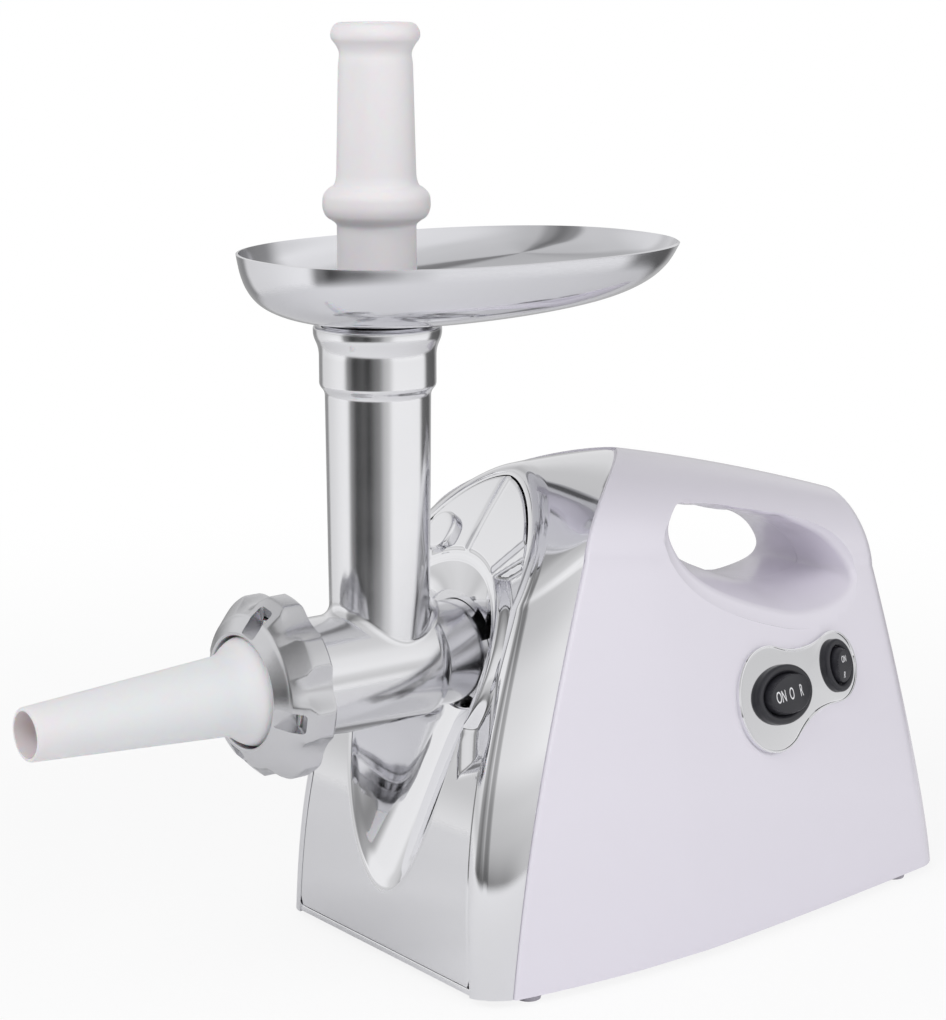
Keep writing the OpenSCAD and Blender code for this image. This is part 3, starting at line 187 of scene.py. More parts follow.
# %% [markdown]
# ## The studio
# Polished metal shows its surroundings, so a chrome piece is only as good as the room. A room
# could be built of walls and lamps, or be a panorama from a file, but ramps over height and turn
# need neither and give even reflections. The world is a pale room with a darker band near the
# horizon and two dark uprights, as the gaps between soft boxes are. Below the horizon the
# uprights are darker still. The camera itself sees plain white, by way of the Light Path node.

# %% World
scene.view_settings.view_transform = "Standard"
world = bpy.data.worlds.new("studio")
scene.world = world
world.use_nodes = True
studio = world.node_tree
studio.nodes.clear()
direction = add_node(studio, "TexCoord")
parts = add_node(studio, "SeparateXYZ")
studio.links.new(direction.outputs["Generated"], parts.inputs[0])
by_height = grey_ramp(studio, map_range(studio, parts.outputs["Z"], -1, 1), [
    (0.0, 0.85), (0.36, 1.0), (0.44, 0.92), (0.5, 0.66), (0.55, 0.74), (0.62, 0.96), (0.74, 0.9),
    (0.86, 0.72), (1.0, 0.66)])
heading = maths(studio, "ARCTAN2", parts.outputs["Y"], parts.outputs["X"])
turn = map_range(studio, heading, -math.pi, math.pi)
high_turn = grey_ramp(studio, turn, [
    (0.0, 0.72), (0.03, 0.95), (0.21, 1.0), (0.25, 0.45), (0.30, 0.30), (0.34, 0.5), (0.38, 0.85),
    (0.49, 1.0), (0.69, 1.0), (0.735, 0.4), (0.79, 0.36), (0.84, 0.85), (0.93, 0.85), (1.0, 0.72)])
low_turn = grey_ramp(studio, turn, [
    (0.0, 0.3), (0.03, 0.8), (0.20, 1.0), (0.235, 0.24), (0.27, 0.06), (0.32, 0.10), (0.345, 0.05),
    (0.40, 0.22), (0.45, 0.6), (0.50, 1.0), (0.68, 1.0), (0.72, 0.14), (0.80, 0.12), (0.85, 0.5),
    (0.93, 0.4), (1.0, 0.3)])
above_horizon = map_range(studio, parts.outputs["Z"], -0.12, 0.02, interpolation="SMOOTHSTEP")
by_turn = mix_colours(studio, above_horizon, low_turn, high_turn)
rays = add_node(studio, "LightPath")
lit = add_node(studio, "Background")
studio.links.new(mix_colours(studio, 1, by_height, by_turn, "MULTIPLY"), lit.inputs["Color"])
strength = map_range(studio, rays.outputs["Is Glossy Ray"], 0, 1, 0.74, 1.0)
studio.links.new(strength, lit.inputs["Strength"])
plain = add_node(studio, "Background")
plain.inputs["Color"].default_value = (1, 1, 1, 1)
seen = maths(studio, "MAXIMUM", rays.outputs["Is Camera Ray"], rays.outputs["Is Transmission Ray"])
output = add_node(studio, "OutputWorld")
room = mix_shaders(studio, seen, lit.outputs[0], plain.outputs[0])
studio.links.new(room, output.inputs["Surface"])
print("world nodes:", len(studio.nodes))

# %% [markdown]
# ## Lamps
# Two large soft lamps model the white housing: a key from the front and a weaker one from the
# switch side. They are hidden from mirror rays, because the painted room does the chrome's work.

# %% Lamps


def soft_box(name, spot, target, size, watts):
    """A square area lamp at spot that points at target, both in metres."""
    lamp = bpy.data.lights.new(name, "AREA")
    lamp.shape = "SQUARE"
    lamp.size = size
    lamp.energy = watts
    box = bpy.data.objects.new(name, lamp)
    box.location = spot
    box.rotation_euler = (Vector(target) - Vector(spot)).to_track_quat("-Z", "Y").to_euler()
    box.visible_glossy = False
    scene.collection.objects.link(box)


soft_box("key_light", (0.4, -1.3, 1.5), (0, 0, 0.15), 1.0, 14)
soft_box("side_light", (1.5, 0.5, 0.9), (0, 0.05, 0.15), 0.9, 6)

# %% [markdown]
# ## The floor
# The machine stands on a plain pale table. The floor glows nearly white to the camera and takes
# the rest of its tone from the light that reaches it, so the soft contact shadow stays. In the
# metal's reflections the table ends some way out, and the room shows past its edge.

# %% Floor
FLOOR_HALF = 6
floor_bm = bmesh.new()
bmesh.ops.create_grid(floor_bm, x_segments=2, y_segments=2, size=FLOOR_HALF)
floor_mesh = bpy.data.meshes.new("floor")
floor_bm.to_mesh(floor_mesh)
floor_bm.free()
floor = bpy.data.objects.new("floor", floor_mesh)
scene.collection.objects.link(floor)

floor_material = bpy.data.materials.new("floor_white")
floor_material.use_nodes = True
table = floor_material.node_tree
table.nodes.clear()
rays = add_node(table, "LightPath")
table_place = add_node(table, "TexCoord")
distance = add_node(table, "VectorMath", operation="LENGTH")
table.links.new(table_place.outputs["Object"], distance.inputs[0])
far = distance.outputs["Value"]
paint = add_node(table, "BsdfDiffuse")
paint.inputs["Color"].default_value = (0.94, 0.94, 0.95, 1)
glow = add_node(table, "Emission")
glow_share = maths(table, "MULTIPLY", rays.outputs["Is Camera Ray"],
                   map_range(table, far, 0.25, 1.0, 0.86, 1.0, "SMOOTHSTEP"))
top = mix_shaders(table, glow_share, paint.outputs[0], glow.outputs[0])
past_edge = map_range(table, far, 0.55, 0.8, interpolation="SMOOTHSTEP")
open_share = maths(table, "MULTIPLY", past_edge, rays.outputs["Is Glossy Ray"])
clear = add_node(table, "BsdfTransparent")
table_out = add_node(table, "OutputMaterial")
surface = mix_shaders(table, open_share, top, clear.outputs[0])
table.links.new(surface, table_out.inputs["Surface"])
floor.data.materials.append(floor_material)
print("floor nodes:", len(table.nodes))

# %% [markdown]
# ## Shared surface effects
# Real finishes are never even. Two small node groups are shared by many materials: a soft mottle,
# which varies gloss and lifts the surface a little as moulding and polishing do, and a grain,
# which is the fine pitting of a casting. Each material gives them its own scale and strength.

# %% Surface effect groups


def noise_effect(name, detail):
    """Noise on object coordinates as a gloss value around a middle, and as a height."""
    group = bpy.data.node_groups.new(name, "ShaderNodeTree")
    for label, default in (("Scale", 60.0), ("Middle", 0.2), ("Spread", 0.05)):
        socket = group.interface.new_socket(label, in_out="INPUT", socket_type="NodeSocketFloat")
        socket.default_value = default
    for label in ("Gloss", "Height"):
        group.interface.new_socket(label, in_out="OUTPUT", socket_type="NodeSocketFloat")
    inside = group.nodes.new("NodeGroupInput")
    outside = group.nodes.new("NodeGroupOutput")
    surface_place = add_node(group, "TexCoord")
    noise = add_node(group, "TexNoise")
    noise.inputs["Detail"].default_value = detail
    group.links.new(surface_place.outputs["Object"], noise.inputs["Vector"])
    group.links.new(inside.outputs["Scale"], noise.inputs["Scale"])
    centred = add_node(group, "Math", operation="SUBTRACT")
    centred.inputs[1].default_value = 0.5
    group.links.new(noise.outputs["Fac"], centred.inputs[0])
    spread = add_node(group, "Math", operation="MULTIPLY_ADD")
    for socket, source in zip(spread.inputs, (
            centred.outputs[0], inside.outputs["Spread"], inside.outputs["Middle"])):
        group.links.new(source, socket)
    group.links.new(spread.outputs[0], outside.inputs["Gloss"])
    group.links.new(noise.outputs["Fac"], outside.inputs["Height"])
    return group


soft_mottle = noise_effect("soft_mottle", 2.0)
cast_grain = noise_effect("cast_grain", 8.0)
print("groups:", [g.name for g in bpy.data.node_groups])

# %% [markdown]
# ## One recipe for every finish
# A finish is a Principled shader whose roughness and bump come from one of the two effects. Its
# tone, its metal, and how much the effect shows are the only things that differ.

# %% Finish recipe


def finish(name, colour, metallic, middle, spread, scale, bump, effect=soft_mottle, **sockets):
    """A material whose roughness lies around middle, with bumps of a height in millimetres."""
    material = bpy.data.materials.new(name)
    material.use_nodes = True
    tree = material.node_tree
    shader = tree.nodes["Principled BSDF"]
    shader.inputs["Base Color"].default_value = (*colour, 1)
    shader.inputs["Metallic"].default_value = metallic
    for label, value in sockets.items():
        shader.inputs[label.replace("_", " ")].default_value = value
    group = add_node(tree, "Group", node_tree=effect)
    for label, value in (("Scale", scale), ("Middle", middle), ("Spread", spread)):
        group.inputs[label].default_value = value
    tree.links.new(group.outputs["Gloss"], shader.inputs["Roughness"])
    raised = add_node(tree, "Bump")
    raised.inputs["Strength"].default_value = 1
    raised.inputs["Distance"].default_value = bump * MM
    tree.links.new(group.outputs["Height"], raised.inputs["Height"])
    tree.links.new(raised.outputs["Normal"], shader.inputs["Normal"])
    return material


print("finish recipe ready")

# %% [markdown]
# ## Finishes that show
# The body is glossy white plastic with a breath of lavender. The front, the tray and the switch
# plate are plated, so they are almost a mirror. The head is polished cast aluminium, softer than
# plating, and the ring nut is left rougher. The nozzle and the pusher are milky plastic that lets
# a little light in.

# %% Outer finishes
white_shell = finish("white_shell", (0.83, 0.80, 0.88), 0, 0.22, 0.06, 45, 0.012, Coat_Weight=0.3)
mirror_chrome = finish("mirror_chrome", (0.86, 0.86, 0.88), 1, 0.05, 0.03, 30, 0.006)
tray_metal = finish("tray_metal", (0.76, 0.76, 0.79), 1, 0.10, 0.04, 22, 0.02)
polished_casting = finish("polished_casting", (0.83, 0.83, 0.85), 1, 0.15, 0.10, 38, 0.05)
raw_casting = finish("raw_casting", (0.66, 0.66, 0.68), 1, 0.23, 0.12, 260, 0.04, cast_grain)
milky_plastic = finish("milky_plastic", (0.85, 0.83, 0.85), 0, 0.38, 0.08, 70, 0.02,
                       Subsurface_Weight=0.35, Subsurface_Scale=0.004)
switch_black = finish("switch_black", (0.022, 0.022, 0.028), 0, 0.34, 0.08, 300, 0.015, cast_grain)
pale_rubber = finish("pale_rubber", (0.52, 0.50, 0.55), 0, 0.7, 0.1, 400, 0.02, cast_grain)
soft_rubber = finish("soft_rubber", (0.03, 0.03, 0.03), 0, 0.75, 0.1, 400, 0.03, cast_grain)
print_white = finish("print_white", (0.85, 0.85, 0.87), 0, 0.5, 0.05, 200, 0.002)
print("outer finishes:", [m.name for m in bpy.data.materials if m != floor_material])

# %% [markdown]
# ## Finishes inside
# The motor, the gears and the cutting parts are hidden at rest, but they show when the machine
# is taken apart, so each has the metal or plastic that such a part is made of.

# %% Inner finishes
nylon = finish("nylon", (0.80, 0.79, 0.74), 0, 0.45, 0.08, 120, 0.02)
machined_steel = finish("machined_steel", (0.55, 0.56, 0.58), 1, 0.32, 0.12, 150, 0.02)
bearing_bronze = finish("bearing_bronze", (0.62, 0.44, 0.20), 1, 0.35, 0.12, 150, 0.02)
winding_copper = finish("winding_copper", (0.50, 0.19, 0.07), 0.6, 0.38, 0.15, 500, 0.08,
                        cast_grain)
brush_carbon = finish("brush_carbon", (0.04, 0.04, 0.045), 0, 0.6, 0.1, 400, 0.03, cast_grain)
fan_black = finish("fan_black", (0.03, 0.03, 0.035), 0, 0.45, 0.08, 200, 0.02)

node_finishes = {
    white_shell: "housing_right housing_left base_plate",
    mirror_chrome: "cowl_frame front_panel switch_plate lock_button",
    tray_metal: "tray",
    polished_casting: "grinder_head auger head_socket",
    raw_casting: "ring_nut gearbox_cover gearbox_case motor_front_bracket motor_rear_bracket",
    soft_rubber: "cord_grommet",
    pale_rubber: "feet",
    switch_black: "main_switch_body main_rocker reverse_switch_body reverse_rocker",
    milky_plastic: "sausage_nozzle pusher",
    nylon: "auger_bush intermediate_gear",
    machined_steel: "lock_spring output_gear intermediate_shaft armature_shaft stator_core"
                    " motor_bearings motor_studs gearbox_screws base_screws housing_screws"
                    " knife cutting_plate",
    bearing_bronze: "output_bearing commutator brush_holders",
    winding_copper: "armature_core field_coils",
    brush_carbon: "carbon_brushes",
    fan_black: "cooling_fan",
}
for material, names in node_finishes.items():
    for name in names.split():
        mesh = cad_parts[name].data
        mesh.materials.clear()
        mesh.materials.append(material)
finished = " ".join(node_finishes.values()).split()
print("nodes without a finish:", sorted(set(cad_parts) - set(finished)))

# %% [markdown]
# ## Making pieces
# Each new piece starts as a simple bmesh shape in millimetres. A carve is a Boolean cut that is
# applied at once, because a cut that stays live would need its cutter kept too. Shapes that only
# touch or overlap in one casting are joined instead, which leaves their faces as they are.

# %% Cutting and joining
SEAM_GAP = 0.002


def tidy(bm):
    """Closes doubled seams and turns all faces outward."""
    bmesh.ops.remove_doubles(bm, verts=bm.verts, dist=SEAM_GAP)
    bmesh.ops.recalc_face_normals(bm, faces=bm.faces)


def carve(bm, cutter, operation="DIFFERENCE"):
    """The first shape cut by the second one, or what both share. Both are used up."""
    shapes = []
    for shape in (bm, cutter):
        tidy(shape)
        mesh = bpy.data.meshes.new("carving")
        shape.to_mesh(mesh)
        shape.free()
        shapes.append(bpy.data.objects.new("carving", mesh))
        scene.collection.objects.link(shapes[-1])
    cut = shapes[0].modifiers.new("cut", "BOOLEAN")
    cut.operation = operation
    cut.object = shapes[1]
    cut.solver = "EXACT"
    result = bmesh.new()
    result.from_mesh(shapes[0].evaluated_get(bpy.context.evaluated_depsgraph_get()).to_mesh())
    for shape in shapes:
        bpy.data.meshes.remove(shape.data)
    return result


def joined(first, *others):
    """Several shapes in one, with their seams merged."""
    for other in others:
        mesh = bpy.data.meshes.new("joining")
        other.to_mesh(mesh)
        other.free()
        first.from_mesh(mesh)
        bpy.data.meshes.remove(mesh)
    bmesh.ops.remove_doubles(first, verts=first.verts, dist=SEAM_GAP)
    return first


def close_holes(bm):
    """Caps every open edge loop with a flat face."""
    bmesh.ops.remove_doubles(bm, verts=bm.verts, dist=SEAM_GAP)
    bmesh.ops.holes_fill(bm, edges=[e for e in bm.edges if e.is_boundary], sides=0)
    return bm


print("cutting and joining ready")

# %% [markdown]
# ## Finished pieces
# A finished piece is scaled to metres, gets closed seams and outward normals, rides on a CAD body
# and hides the CAD nodes it stands for. Edges sharper than a given angle stay crisp, and the
# rest are shaded smooth, so that a mould's corner reads as a corner.

# %% Finished pieces


def finished_piece(name, bm, material, body, slot_name, *nodes, sharp=32):
    """A bmesh in millimetres (y from the frame's origin) as a shaded piece on a CAD body."""
    tidy(bm)
    bmesh.ops.scale(bm, vec=(MM, MM, MM), verts=bm.verts)
    for face in bm.faces:
        face.smooth = True
    for edge in bm.edges:
        edge.smooth = len(edge.link_faces) < 2 or edge.calc_face_angle(0) < math.radians(sharp)
    mesh = bpy.data.meshes.new(name)
    bm.to_mesh(mesh)
    bm.free()
    mesh.materials.append(material)
    piece = bpy.data.objects.new(name, mesh)
    scene.collection.objects.link(piece)
    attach(piece, body)
    if nodes:
        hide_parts(*nodes)
    low = [round(min(v.co[i] for v in mesh.vertices) / MM, 1) for i in range(3)]
    high = [round(max(v.co[i] for v in mesh.vertices) / MM, 1) for i in range(3)]
    print(f"{name}: {len(mesh.polygons)} faces, {low} to {high} mm")


print("finished pieces are ready to be made from bmesh shapes")

# %% [markdown]
# ## Blends and bends
# The housing's and the panel's shapes are formulas rather than sculpted meshes, because they have
# to lie on the CAD's surfaces. The small functions below are the vocabulary of those formulas:
# blends, soft steps, bends and rounded edges.

# %% Blends and bends


def mix(a, b, share):
    """A value or point part of the way from a to b."""
    return a + (b - a) * share


def ease(x):
    """A smooth step from 0 to 1 as x goes from 0 to 1."""
    x = min(max(x, 0), 1)
    return x * x * (3 - 2 * x)


def polar(radius, angle, z):
    """A point at a radius and an angle round the Z axis."""
    return Vector((radius * math.cos(angle), radius * math.sin(angle), z))


def bend(a, corner, b, t):
    """A point on the soft bend from a to b that a corner pulls out."""
    return a * (1 - t) ** 2 + corner * 2 * t * (1 - t) + b * t * t


def curve_between(a, b, c, d, t):
    """A point from b to c on the smooth curve that runs on through a and d."""
    return (b + (c - a) * t / 2 + (2 * a - 5 * b + 4 * c - d) * t * t / 2
            + (3 * b - 3 * c + d - a) * t ** 3 / 2)


def rounding(run, radius):
    """How far a surface draws in at a distance run from an edge rounded to the radius."""
    e = min(max(run, 0), radius)
    return radius - math.sqrt(max(radius ** 2 - (radius - e) ** 2, 0))


print("halfway through a soft step:", ease(0.5))

# %% [markdown]
# ## Grids and searches
# Most skins here are a plain grid whose points are moved onto a formula, which keeps the faces
# in even rows, so that light runs smoothly over them. Where an outline ends is found by halving:
# it is slower than solving for it, but it works for any outline that can say what is inside.

# %% Grids and searches
SEARCH_STEPS = 30


def last_inside(limit, inside):
    """The largest distance up to a limit that is still inside, found by halving."""
    low, high = 0.0, limit
    for _ in range(SEARCH_STEPS):
        middle = (low + high) / 2
        if inside(middle):
            low = middle
        else:
            high = middle
    return low


def grid_of(columns, rows, point):
    """A grid whose vertices go where point(column share, row share) says, in millimetres."""
    bm = bmesh.new()
    bmesh.ops.create_grid(bm, x_segments=columns, y_segments=rows, size=1)
    for vertex in bm.verts:
        vertex.co = point((vertex.co.x + 1) / 2, (vertex.co.y + 1) / 2)
    return bm


print("searches are good to", 100 / 2 ** SEARCH_STEPS, "mm in 100")

# %% [markdown]
# ## Turned pieces
# The barrel, nut, nozzle and pusher are all turned shapes. Their profile is a short list of
# corners, each rounded by its own radius, and one spin sweeps it round the axis. They are built
# standing up, and a matrix lays them along the barrel or sets them in the tube.

# %% Turning helpers
ALONG_BARREL = Matrix.Translation((0, TUBE_Y, AXIS_Z)) @ Matrix.Rotation(math.radians(-90), 4, "X")
UP_THE_TUBE = Matrix.Translation((0, TUBE_Y, 0))
LEAST_BEND = 0.02


def rounded(points, radius, steps=5):
    """A profile [(r, h) or (r, h, own radius)] with its inner corners rounded."""
    result = [Vector(points[0][:2])]
    for before, corner, after in zip(points, points[1:], points[2:]):
        here = Vector(corner[:2])
        back, on = Vector(before[:2]) - here, Vector(after[:2]) - here
        size = corner[2] if len(corner) > 2 else radius
        reach = min(size, back.length * 0.48, on.length * 0.48)
        if reach < LEAST_BEND:
            result.append(here)
            continue
        a, b = here + back.normalized() * reach, here + on.normalized() * reach
        result.extend(bend(a, here, b, i / steps) for i in range(steps + 1))
    result.append(Vector(points[-1][:2]))
    return result


def spun(profile, turns=128):
    """A profile of (radius, height) spun round the Z axis."""
    bm = bmesh.new()
    bmesh.ops.create_vert(bm, co=(profile[0][0], 0, profile[0][1]))
    for radius, height in profile[1:]:
        bm.verts.ensure_lookup_table()
        made = bmesh.ops.extrude_vert_indiv(bm, verts=[bm.verts[-1]])["verts"][0]
        made.co = (radius, 0, height)
    bmesh.ops.spin(bm, geom=bm.verts[:] + bm.edges[:], cent=(0, 0, 0), axis=(0, 0, 1),
                   angle=2 * math.pi, steps=turns, use_merge=True)
    tidy(bm)
    return bm


def set_down(bm, matrix):
    """Moves a shape from its own axis to its place."""
    bmesh.ops.transform(bm, matrix=matrix, verts=bm.verts)
    return bm


print("turning helpers ready")

# %% [markdown]
# ## The body's front and seam
# The housing and the chrome cowl share one set of curves, the same ones as the CAD. Heights
# count from the body's bottom edge, and y from the feed tube. The front face leans back more
# and more towards the crest, and the seam between chrome and white sweeps back over the top.

# %% Front and seam curves
BODY_H = 220
FRONT_Y, REAR_Y = -0.7, 299
FRONT_LEAN, LEAN_POWER = 78.7, 2.42
RIDGE_HALF_W, RIDGE_DRAFT, RIDGE_TURN_IN = 71.7, 0.075, 9.3
RIDGE_POWER, SWEEP_POWER = 5.7, 2.4
RIDGE_SHOULDER = 0.75 * BODY_H
SHOULDER_H = 35
SEAM_SHOULDER = BODY_H - SHOULDER_H
BAND_DEPTH, BAND_SLOPE = 13.5, 0.1
SEAM_RUN, SEAM_BOW = 137.7, 66
ARCH_POWER = 2 / 1.72
SIDE_SHARE = 0.55


def front_y(z):
    """Where the leaning front face is at a height."""
    return FRONT_Y + FRONT_LEAN * (max(z, 0) / (BODY_H - 1)) ** LEAN_POWER


def ridge_x(z):
    """Half the width of the front face at a height, up to its shoulder."""
    turned_in = RIDGE_TURN_IN * (max(z, 0) / RIDGE_SHOULDER) ** RIDGE_POWER
    return RIDGE_HALF_W - RIDGE_DRAFT * z - turned_in


def arch(a):
    """A point (across, up) on the rounded top, a from 0 at the shoulder to 1 at the crest."""
    turn_angle = a * math.pi / 2
    return max(math.cos(turn_angle), 0) ** ARCH_POWER, math.sin(turn_angle) ** ARCH_POWER


def seam_side_y(z):
    """Where the seam is on the body's side at a height, up to its shoulder."""
    sweep = SEAM_RUN - SEAM_BOW - BAND_DEPTH - BAND_SLOPE * SEAM_SHOULDER
    swept = sweep * (max(z, 0) / SEAM_SHOULDER) ** SWEEP_POWER
    return FRONT_Y + BAND_DEPTH + BAND_SLOPE * z + swept


def ridge_point(u):
    """A point (x, y, z) on the front ridge, u from 0 at the bottom to 1 at the crest."""
    if u < SIDE_SHARE:
        z = RIDGE_SHOULDER * u / SIDE_SHARE
        return Vector((ridge_x(z), front_y(z), z))
    across, up = arch((u - SIDE_SHARE) / (1 - SIDE_SHARE))
    z = RIDGE_SHOULDER + (BODY_H - 1 - RIDGE_SHOULDER) * up
    return Vector((ridge_x(RIDGE_SHOULDER) * across, front_y(z), z))


print("ridge at the crest:", ridge_point(1))

# %% [markdown]
# ## The body's sides and crest
# Seen from above, the sides swell to the belly and narrow to the rear. Going up, they turn in:
# late and quickly near the front, sooner and more gently at the rear. The crest falls away behind
# the seam in a shallow bow.

# %% Side curves
BELLY_Y, BELLY_HALF_W = 107, 90
SEAM_TAPER, SEAM_TAPER_RUN = 7.7, 94.2
REAR_TAPER, REAR_POWER, REAR_LEAN = 20, 1.3, 0.06
SIDE_FROM, SIDE_RUN, SIDE_TOP = 20, 270, 170
TURN_IN_FRONT, TURN_IN_REAR = 19, 50
TURN_POWER_FRONT, TURN_POWER_REAR = 2.3, 1.3
CREST_FALL, CREST_BOW = 38.5, 0.23
CREST_END = REAR_Y - 14
SEAM_CREST_Y = FRONT_Y + SEAM_RUN


def floor_x(y):
    """Half the body's width along its bottom edge."""
    if y < BELLY_Y:
        return BELLY_HALF_W - SEAM_TAPER * ((BELLY_Y - y) / SEAM_TAPER_RUN) ** 2
    return BELLY_HALF_W - REAR_TAPER * ((y - BELLY_Y) / (REAR_Y - BELLY_Y)) ** REAR_POWER


def side_x(y, z):
    """Half the body's width at a height."""
    rearward = (y - SIDE_FROM) / SIDE_RUN
    turn_in = mix(TURN_IN_FRONT, TURN_IN_REAR, rearward)
    power = mix(TURN_POWER_FRONT, TURN_POWER_REAR, rearward)
    return floor_x(y) - turn_in * (max(z, 0) / SIDE_TOP) ** power


def rear_y(z):
    """Where the slightly leaning rear is at a height."""
    return REAR_Y - REAR_LEAN * z


def crest_z(y):
    """The height of the crest behind the seam."""
    q = (y - SEAM_CREST_Y) / (CREST_END - SEAM_CREST_Y)
    return BODY_H - CREST_FALL * ((1 - CREST_BOW) * q + CREST_BOW * q * q)


print("half width at the belly:", floor_x(BELLY_Y), "mm")
print("height of the crest at the rear:", round(crest_z(CREST_END), 1), "mm")

# %% [markdown]
# ## The shell's surface
# The white shell is one surface with two directions: up from the foot over the shoulder to the
# crest, and back from the seam to the rear. Its points blend over the curves above, and its
# edges at the seam and the rear are drawn in, as a mould's are.

# %% Shell surface
SEAM_ROUND, REAR_ROUND = 0.9, 18
SEAM_PACE, SEAM_TOP_POWER = 0.6, 1.2
CREST_REAR_Y = rear_y(BODY_H - CREST_FALL)
REAR_SHOULDER = crest_z(CREST_REAR_Y) - SHOULDER_H
SHELL_RUN = REAR_Y - seam_side_y(0)
HALF_WIDTH = cad_box[1][0] / MM - 0.03


def shell_point(u, t, inset=0.0):
    """A point on the white shell, u from foot to crest, t from 0 at the seam to 1 at the rear."""
    z_side = crest_z(mix(SEAM_CREST_Y, CREST_REAR_Y, t)) - SHOULDER_H
    cut = inset + rounding((1 - t) * SHELL_RUN, REAR_ROUND)
    if inset == 0:
        cut += rounding(t * SHELL_RUN * SEAM_PACE, SEAM_ROUND)
    if u < SIDE_SHARE:
        k = u / SIDE_SHARE
        y = mix(seam_side_y(k * SEAM_SHOULDER), rear_y(k * REAR_SHOULDER), t)
        return Vector((min(side_x(y, k * z_side) - cut, HALF_WIDTH - inset), y, k * z_side))
    across, up = arch((u - SIDE_SHARE) / (1 - SIDE_SHARE))
    z = z_side + (SHOULDER_H - cut) * up
    y_side = mix(seam_side_y(SEAM_SHOULDER), rear_y(REAR_SHOULDER), t)
    seam_y = FRONT_Y + SEAM_RUN - SEAM_BOW * across ** SEAM_TOP_POWER
    return Vector(((side_x(y_side, z_side) - cut) * across, mix(seam_y, rear_y(z), t), z))


def both_sides(point):
    """Turns a half section's u into a full section's, from the right foot over to the left."""
    def full(share, along):
        """The point on its own side, or exactly on the middle at the crest."""
        p = point(1 - abs(1 - 2 * share), along)
        if abs(share - 0.5) < 1e-6:
            return Vector((0, p.y, p.z))
        return Vector((p.x if share < 0.5 else -p.x, p.y, p.z))
    return full


print("crest at the seam:", shell_point(1, 0))

# %% [markdown]
# ## The handle's opening
# The handle is an opening right through the body. Seen from the side, its outline is a smooth
# loop, long and slanted like the hand that goes in. A few marks and a curve through them give it
# with far fewer numbers than a traced outline would need.

# %% Handle outline
HANDLE_MARKS = [
    (130, 191), (140, 200.5), (153, 200), (168, 198), (194, 191.5), (221, 184.5), (247, 173),
    (261, 160), (266, 148), (260, 139.5), (239, 136), (213, 139), (188, 147), (160, 159),
    (142, 170), (132, 181)]


def smooth_loop(marks, steps):
    """A closed curve through the marks, with steps points for each."""
    points = []
    for i in range(len(marks)):
        near = [Vector(marks[(i + k) % len(marks)]) for k in (-1, 0, 1, 2)]
        points.extend(curve_between(*near, j / steps) for j in range(steps))
    return points


HANDLE_LOOP = smooth_loop(HANDLE_MARKS, 8)
print("handle outline:", len(HANDLE_LOOP), "points")

# %% [markdown]
# ## The handle's tunnel
# Made as the solid that is taken away, from copies of the outline set side by side across the
# body. It widens from the grip's middle to the surface, its mouth turns out softly into the
# housing, and its upper side carries four finger grooves.

# %% Handle tunnel
HANDLE_FLARE, FLARE_FROM, FLARE_TO, FLARE_RUN = 7, 12, 64, 34
FINGERS_FROM, FINGERS_TO, FINGER_START = 146, 226, 141
FINGER_PITCH, FINGER_RISE = 22, 0.6
FINGER_REACH, FINGER_FADE = 40, 16
MOUTH_ROUND, MOUTH_DEPTH, MOUTH_CLEAR = 3.2, 3.6, 5
FAR_OUT = 110


def finger_groove(y, x):
    """How far the grooves cut up into the grip, y along it and x from its middle."""
    if not FINGERS_FROM < y < FINGERS_TO:
        return 0
    wave = 1 - math.cos((y - FINGER_START) / FINGER_PITCH * 2 * math.pi)
    return FINGER_RISE * wave * ease((FINGER_REACH - x) / FINGER_FADE)


def handle_tunnel(grow, rounded_mouth):
    """The solid that opens the handle, a tube of outlines from one side to the other."""
    count = len(HANDLE_LOOP)
    near = [-3, 0.12, 0.5, 1.1, 1.9, 2.7] if rounded_mouth else [-4, 0]
    deep = [1, 0.88, 0.74, 0.6, 0.46, 0.33, 0.2, 0.07]
    half = [(None, 1)] + [(depth, 1) for depth in near] + [(MOUTH_DEPTH, share) for share in deep]
    stations = [(1, *h) for h in half] + [(-1, *h) for h in reversed(half)]

    def spot(around, across):
        """A point of one of the outlines, grown to its own station's size."""
        i = round(around * count) % count
        side, depth, share = stations[round(across * (len(stations) - 1))]
        p = HANDLE_LOOP[i]
        run = HANDLE_LOOP[(i + 1) % count] - HANDLE_LOOP[i - 1]
        outward = Vector((-run.y, run.x)).normalized()
        x = FAR_OUT if depth is None else (side_x(p.x, p.y) - depth) * share
        out = grow + HANDLE_FLARE * ((max(min(x, FLARE_TO) - FLARE_FROM, 0) / FLARE_RUN) ** 2 - 1)
        if rounded_mouth:
            out += MOUTH_CLEAR if depth is None or depth < 0 else rounding(depth, MOUTH_ROUND)
        if outward.y > 0.6:
            out += finger_groove(p.x, x)
        q = p + outward * out
        return Vector((x * side, q.x, q.y))

    return close_holes(grid_of(count, len(stations) - 1, spot))


groove_depths = [finger_groove(y, 0) for y in range(FINGERS_FROM, FINGERS_TO)]
print("deepest finger groove:", round(max(groove_depths), 2), "mm")

# %% [markdown]
# ## The white housing
# The real housing is two mouldings that meet on the middle line. One closed body is made from
# the shell surface, with its open front, rear and foot closed by strips. The handle's tunnel and
# an inner copy that is smaller by the wall are taken away from it, and the body is split down
# the middle. Cutting a whole body keeps the two halves' edges exactly alike.

# %% Housing halves
WALL = 2.8
SPLIT = 0.12
SEAM_ROWS, REAR_ROWS, SEAM_BIT = 0.1, 0.8, 0.012


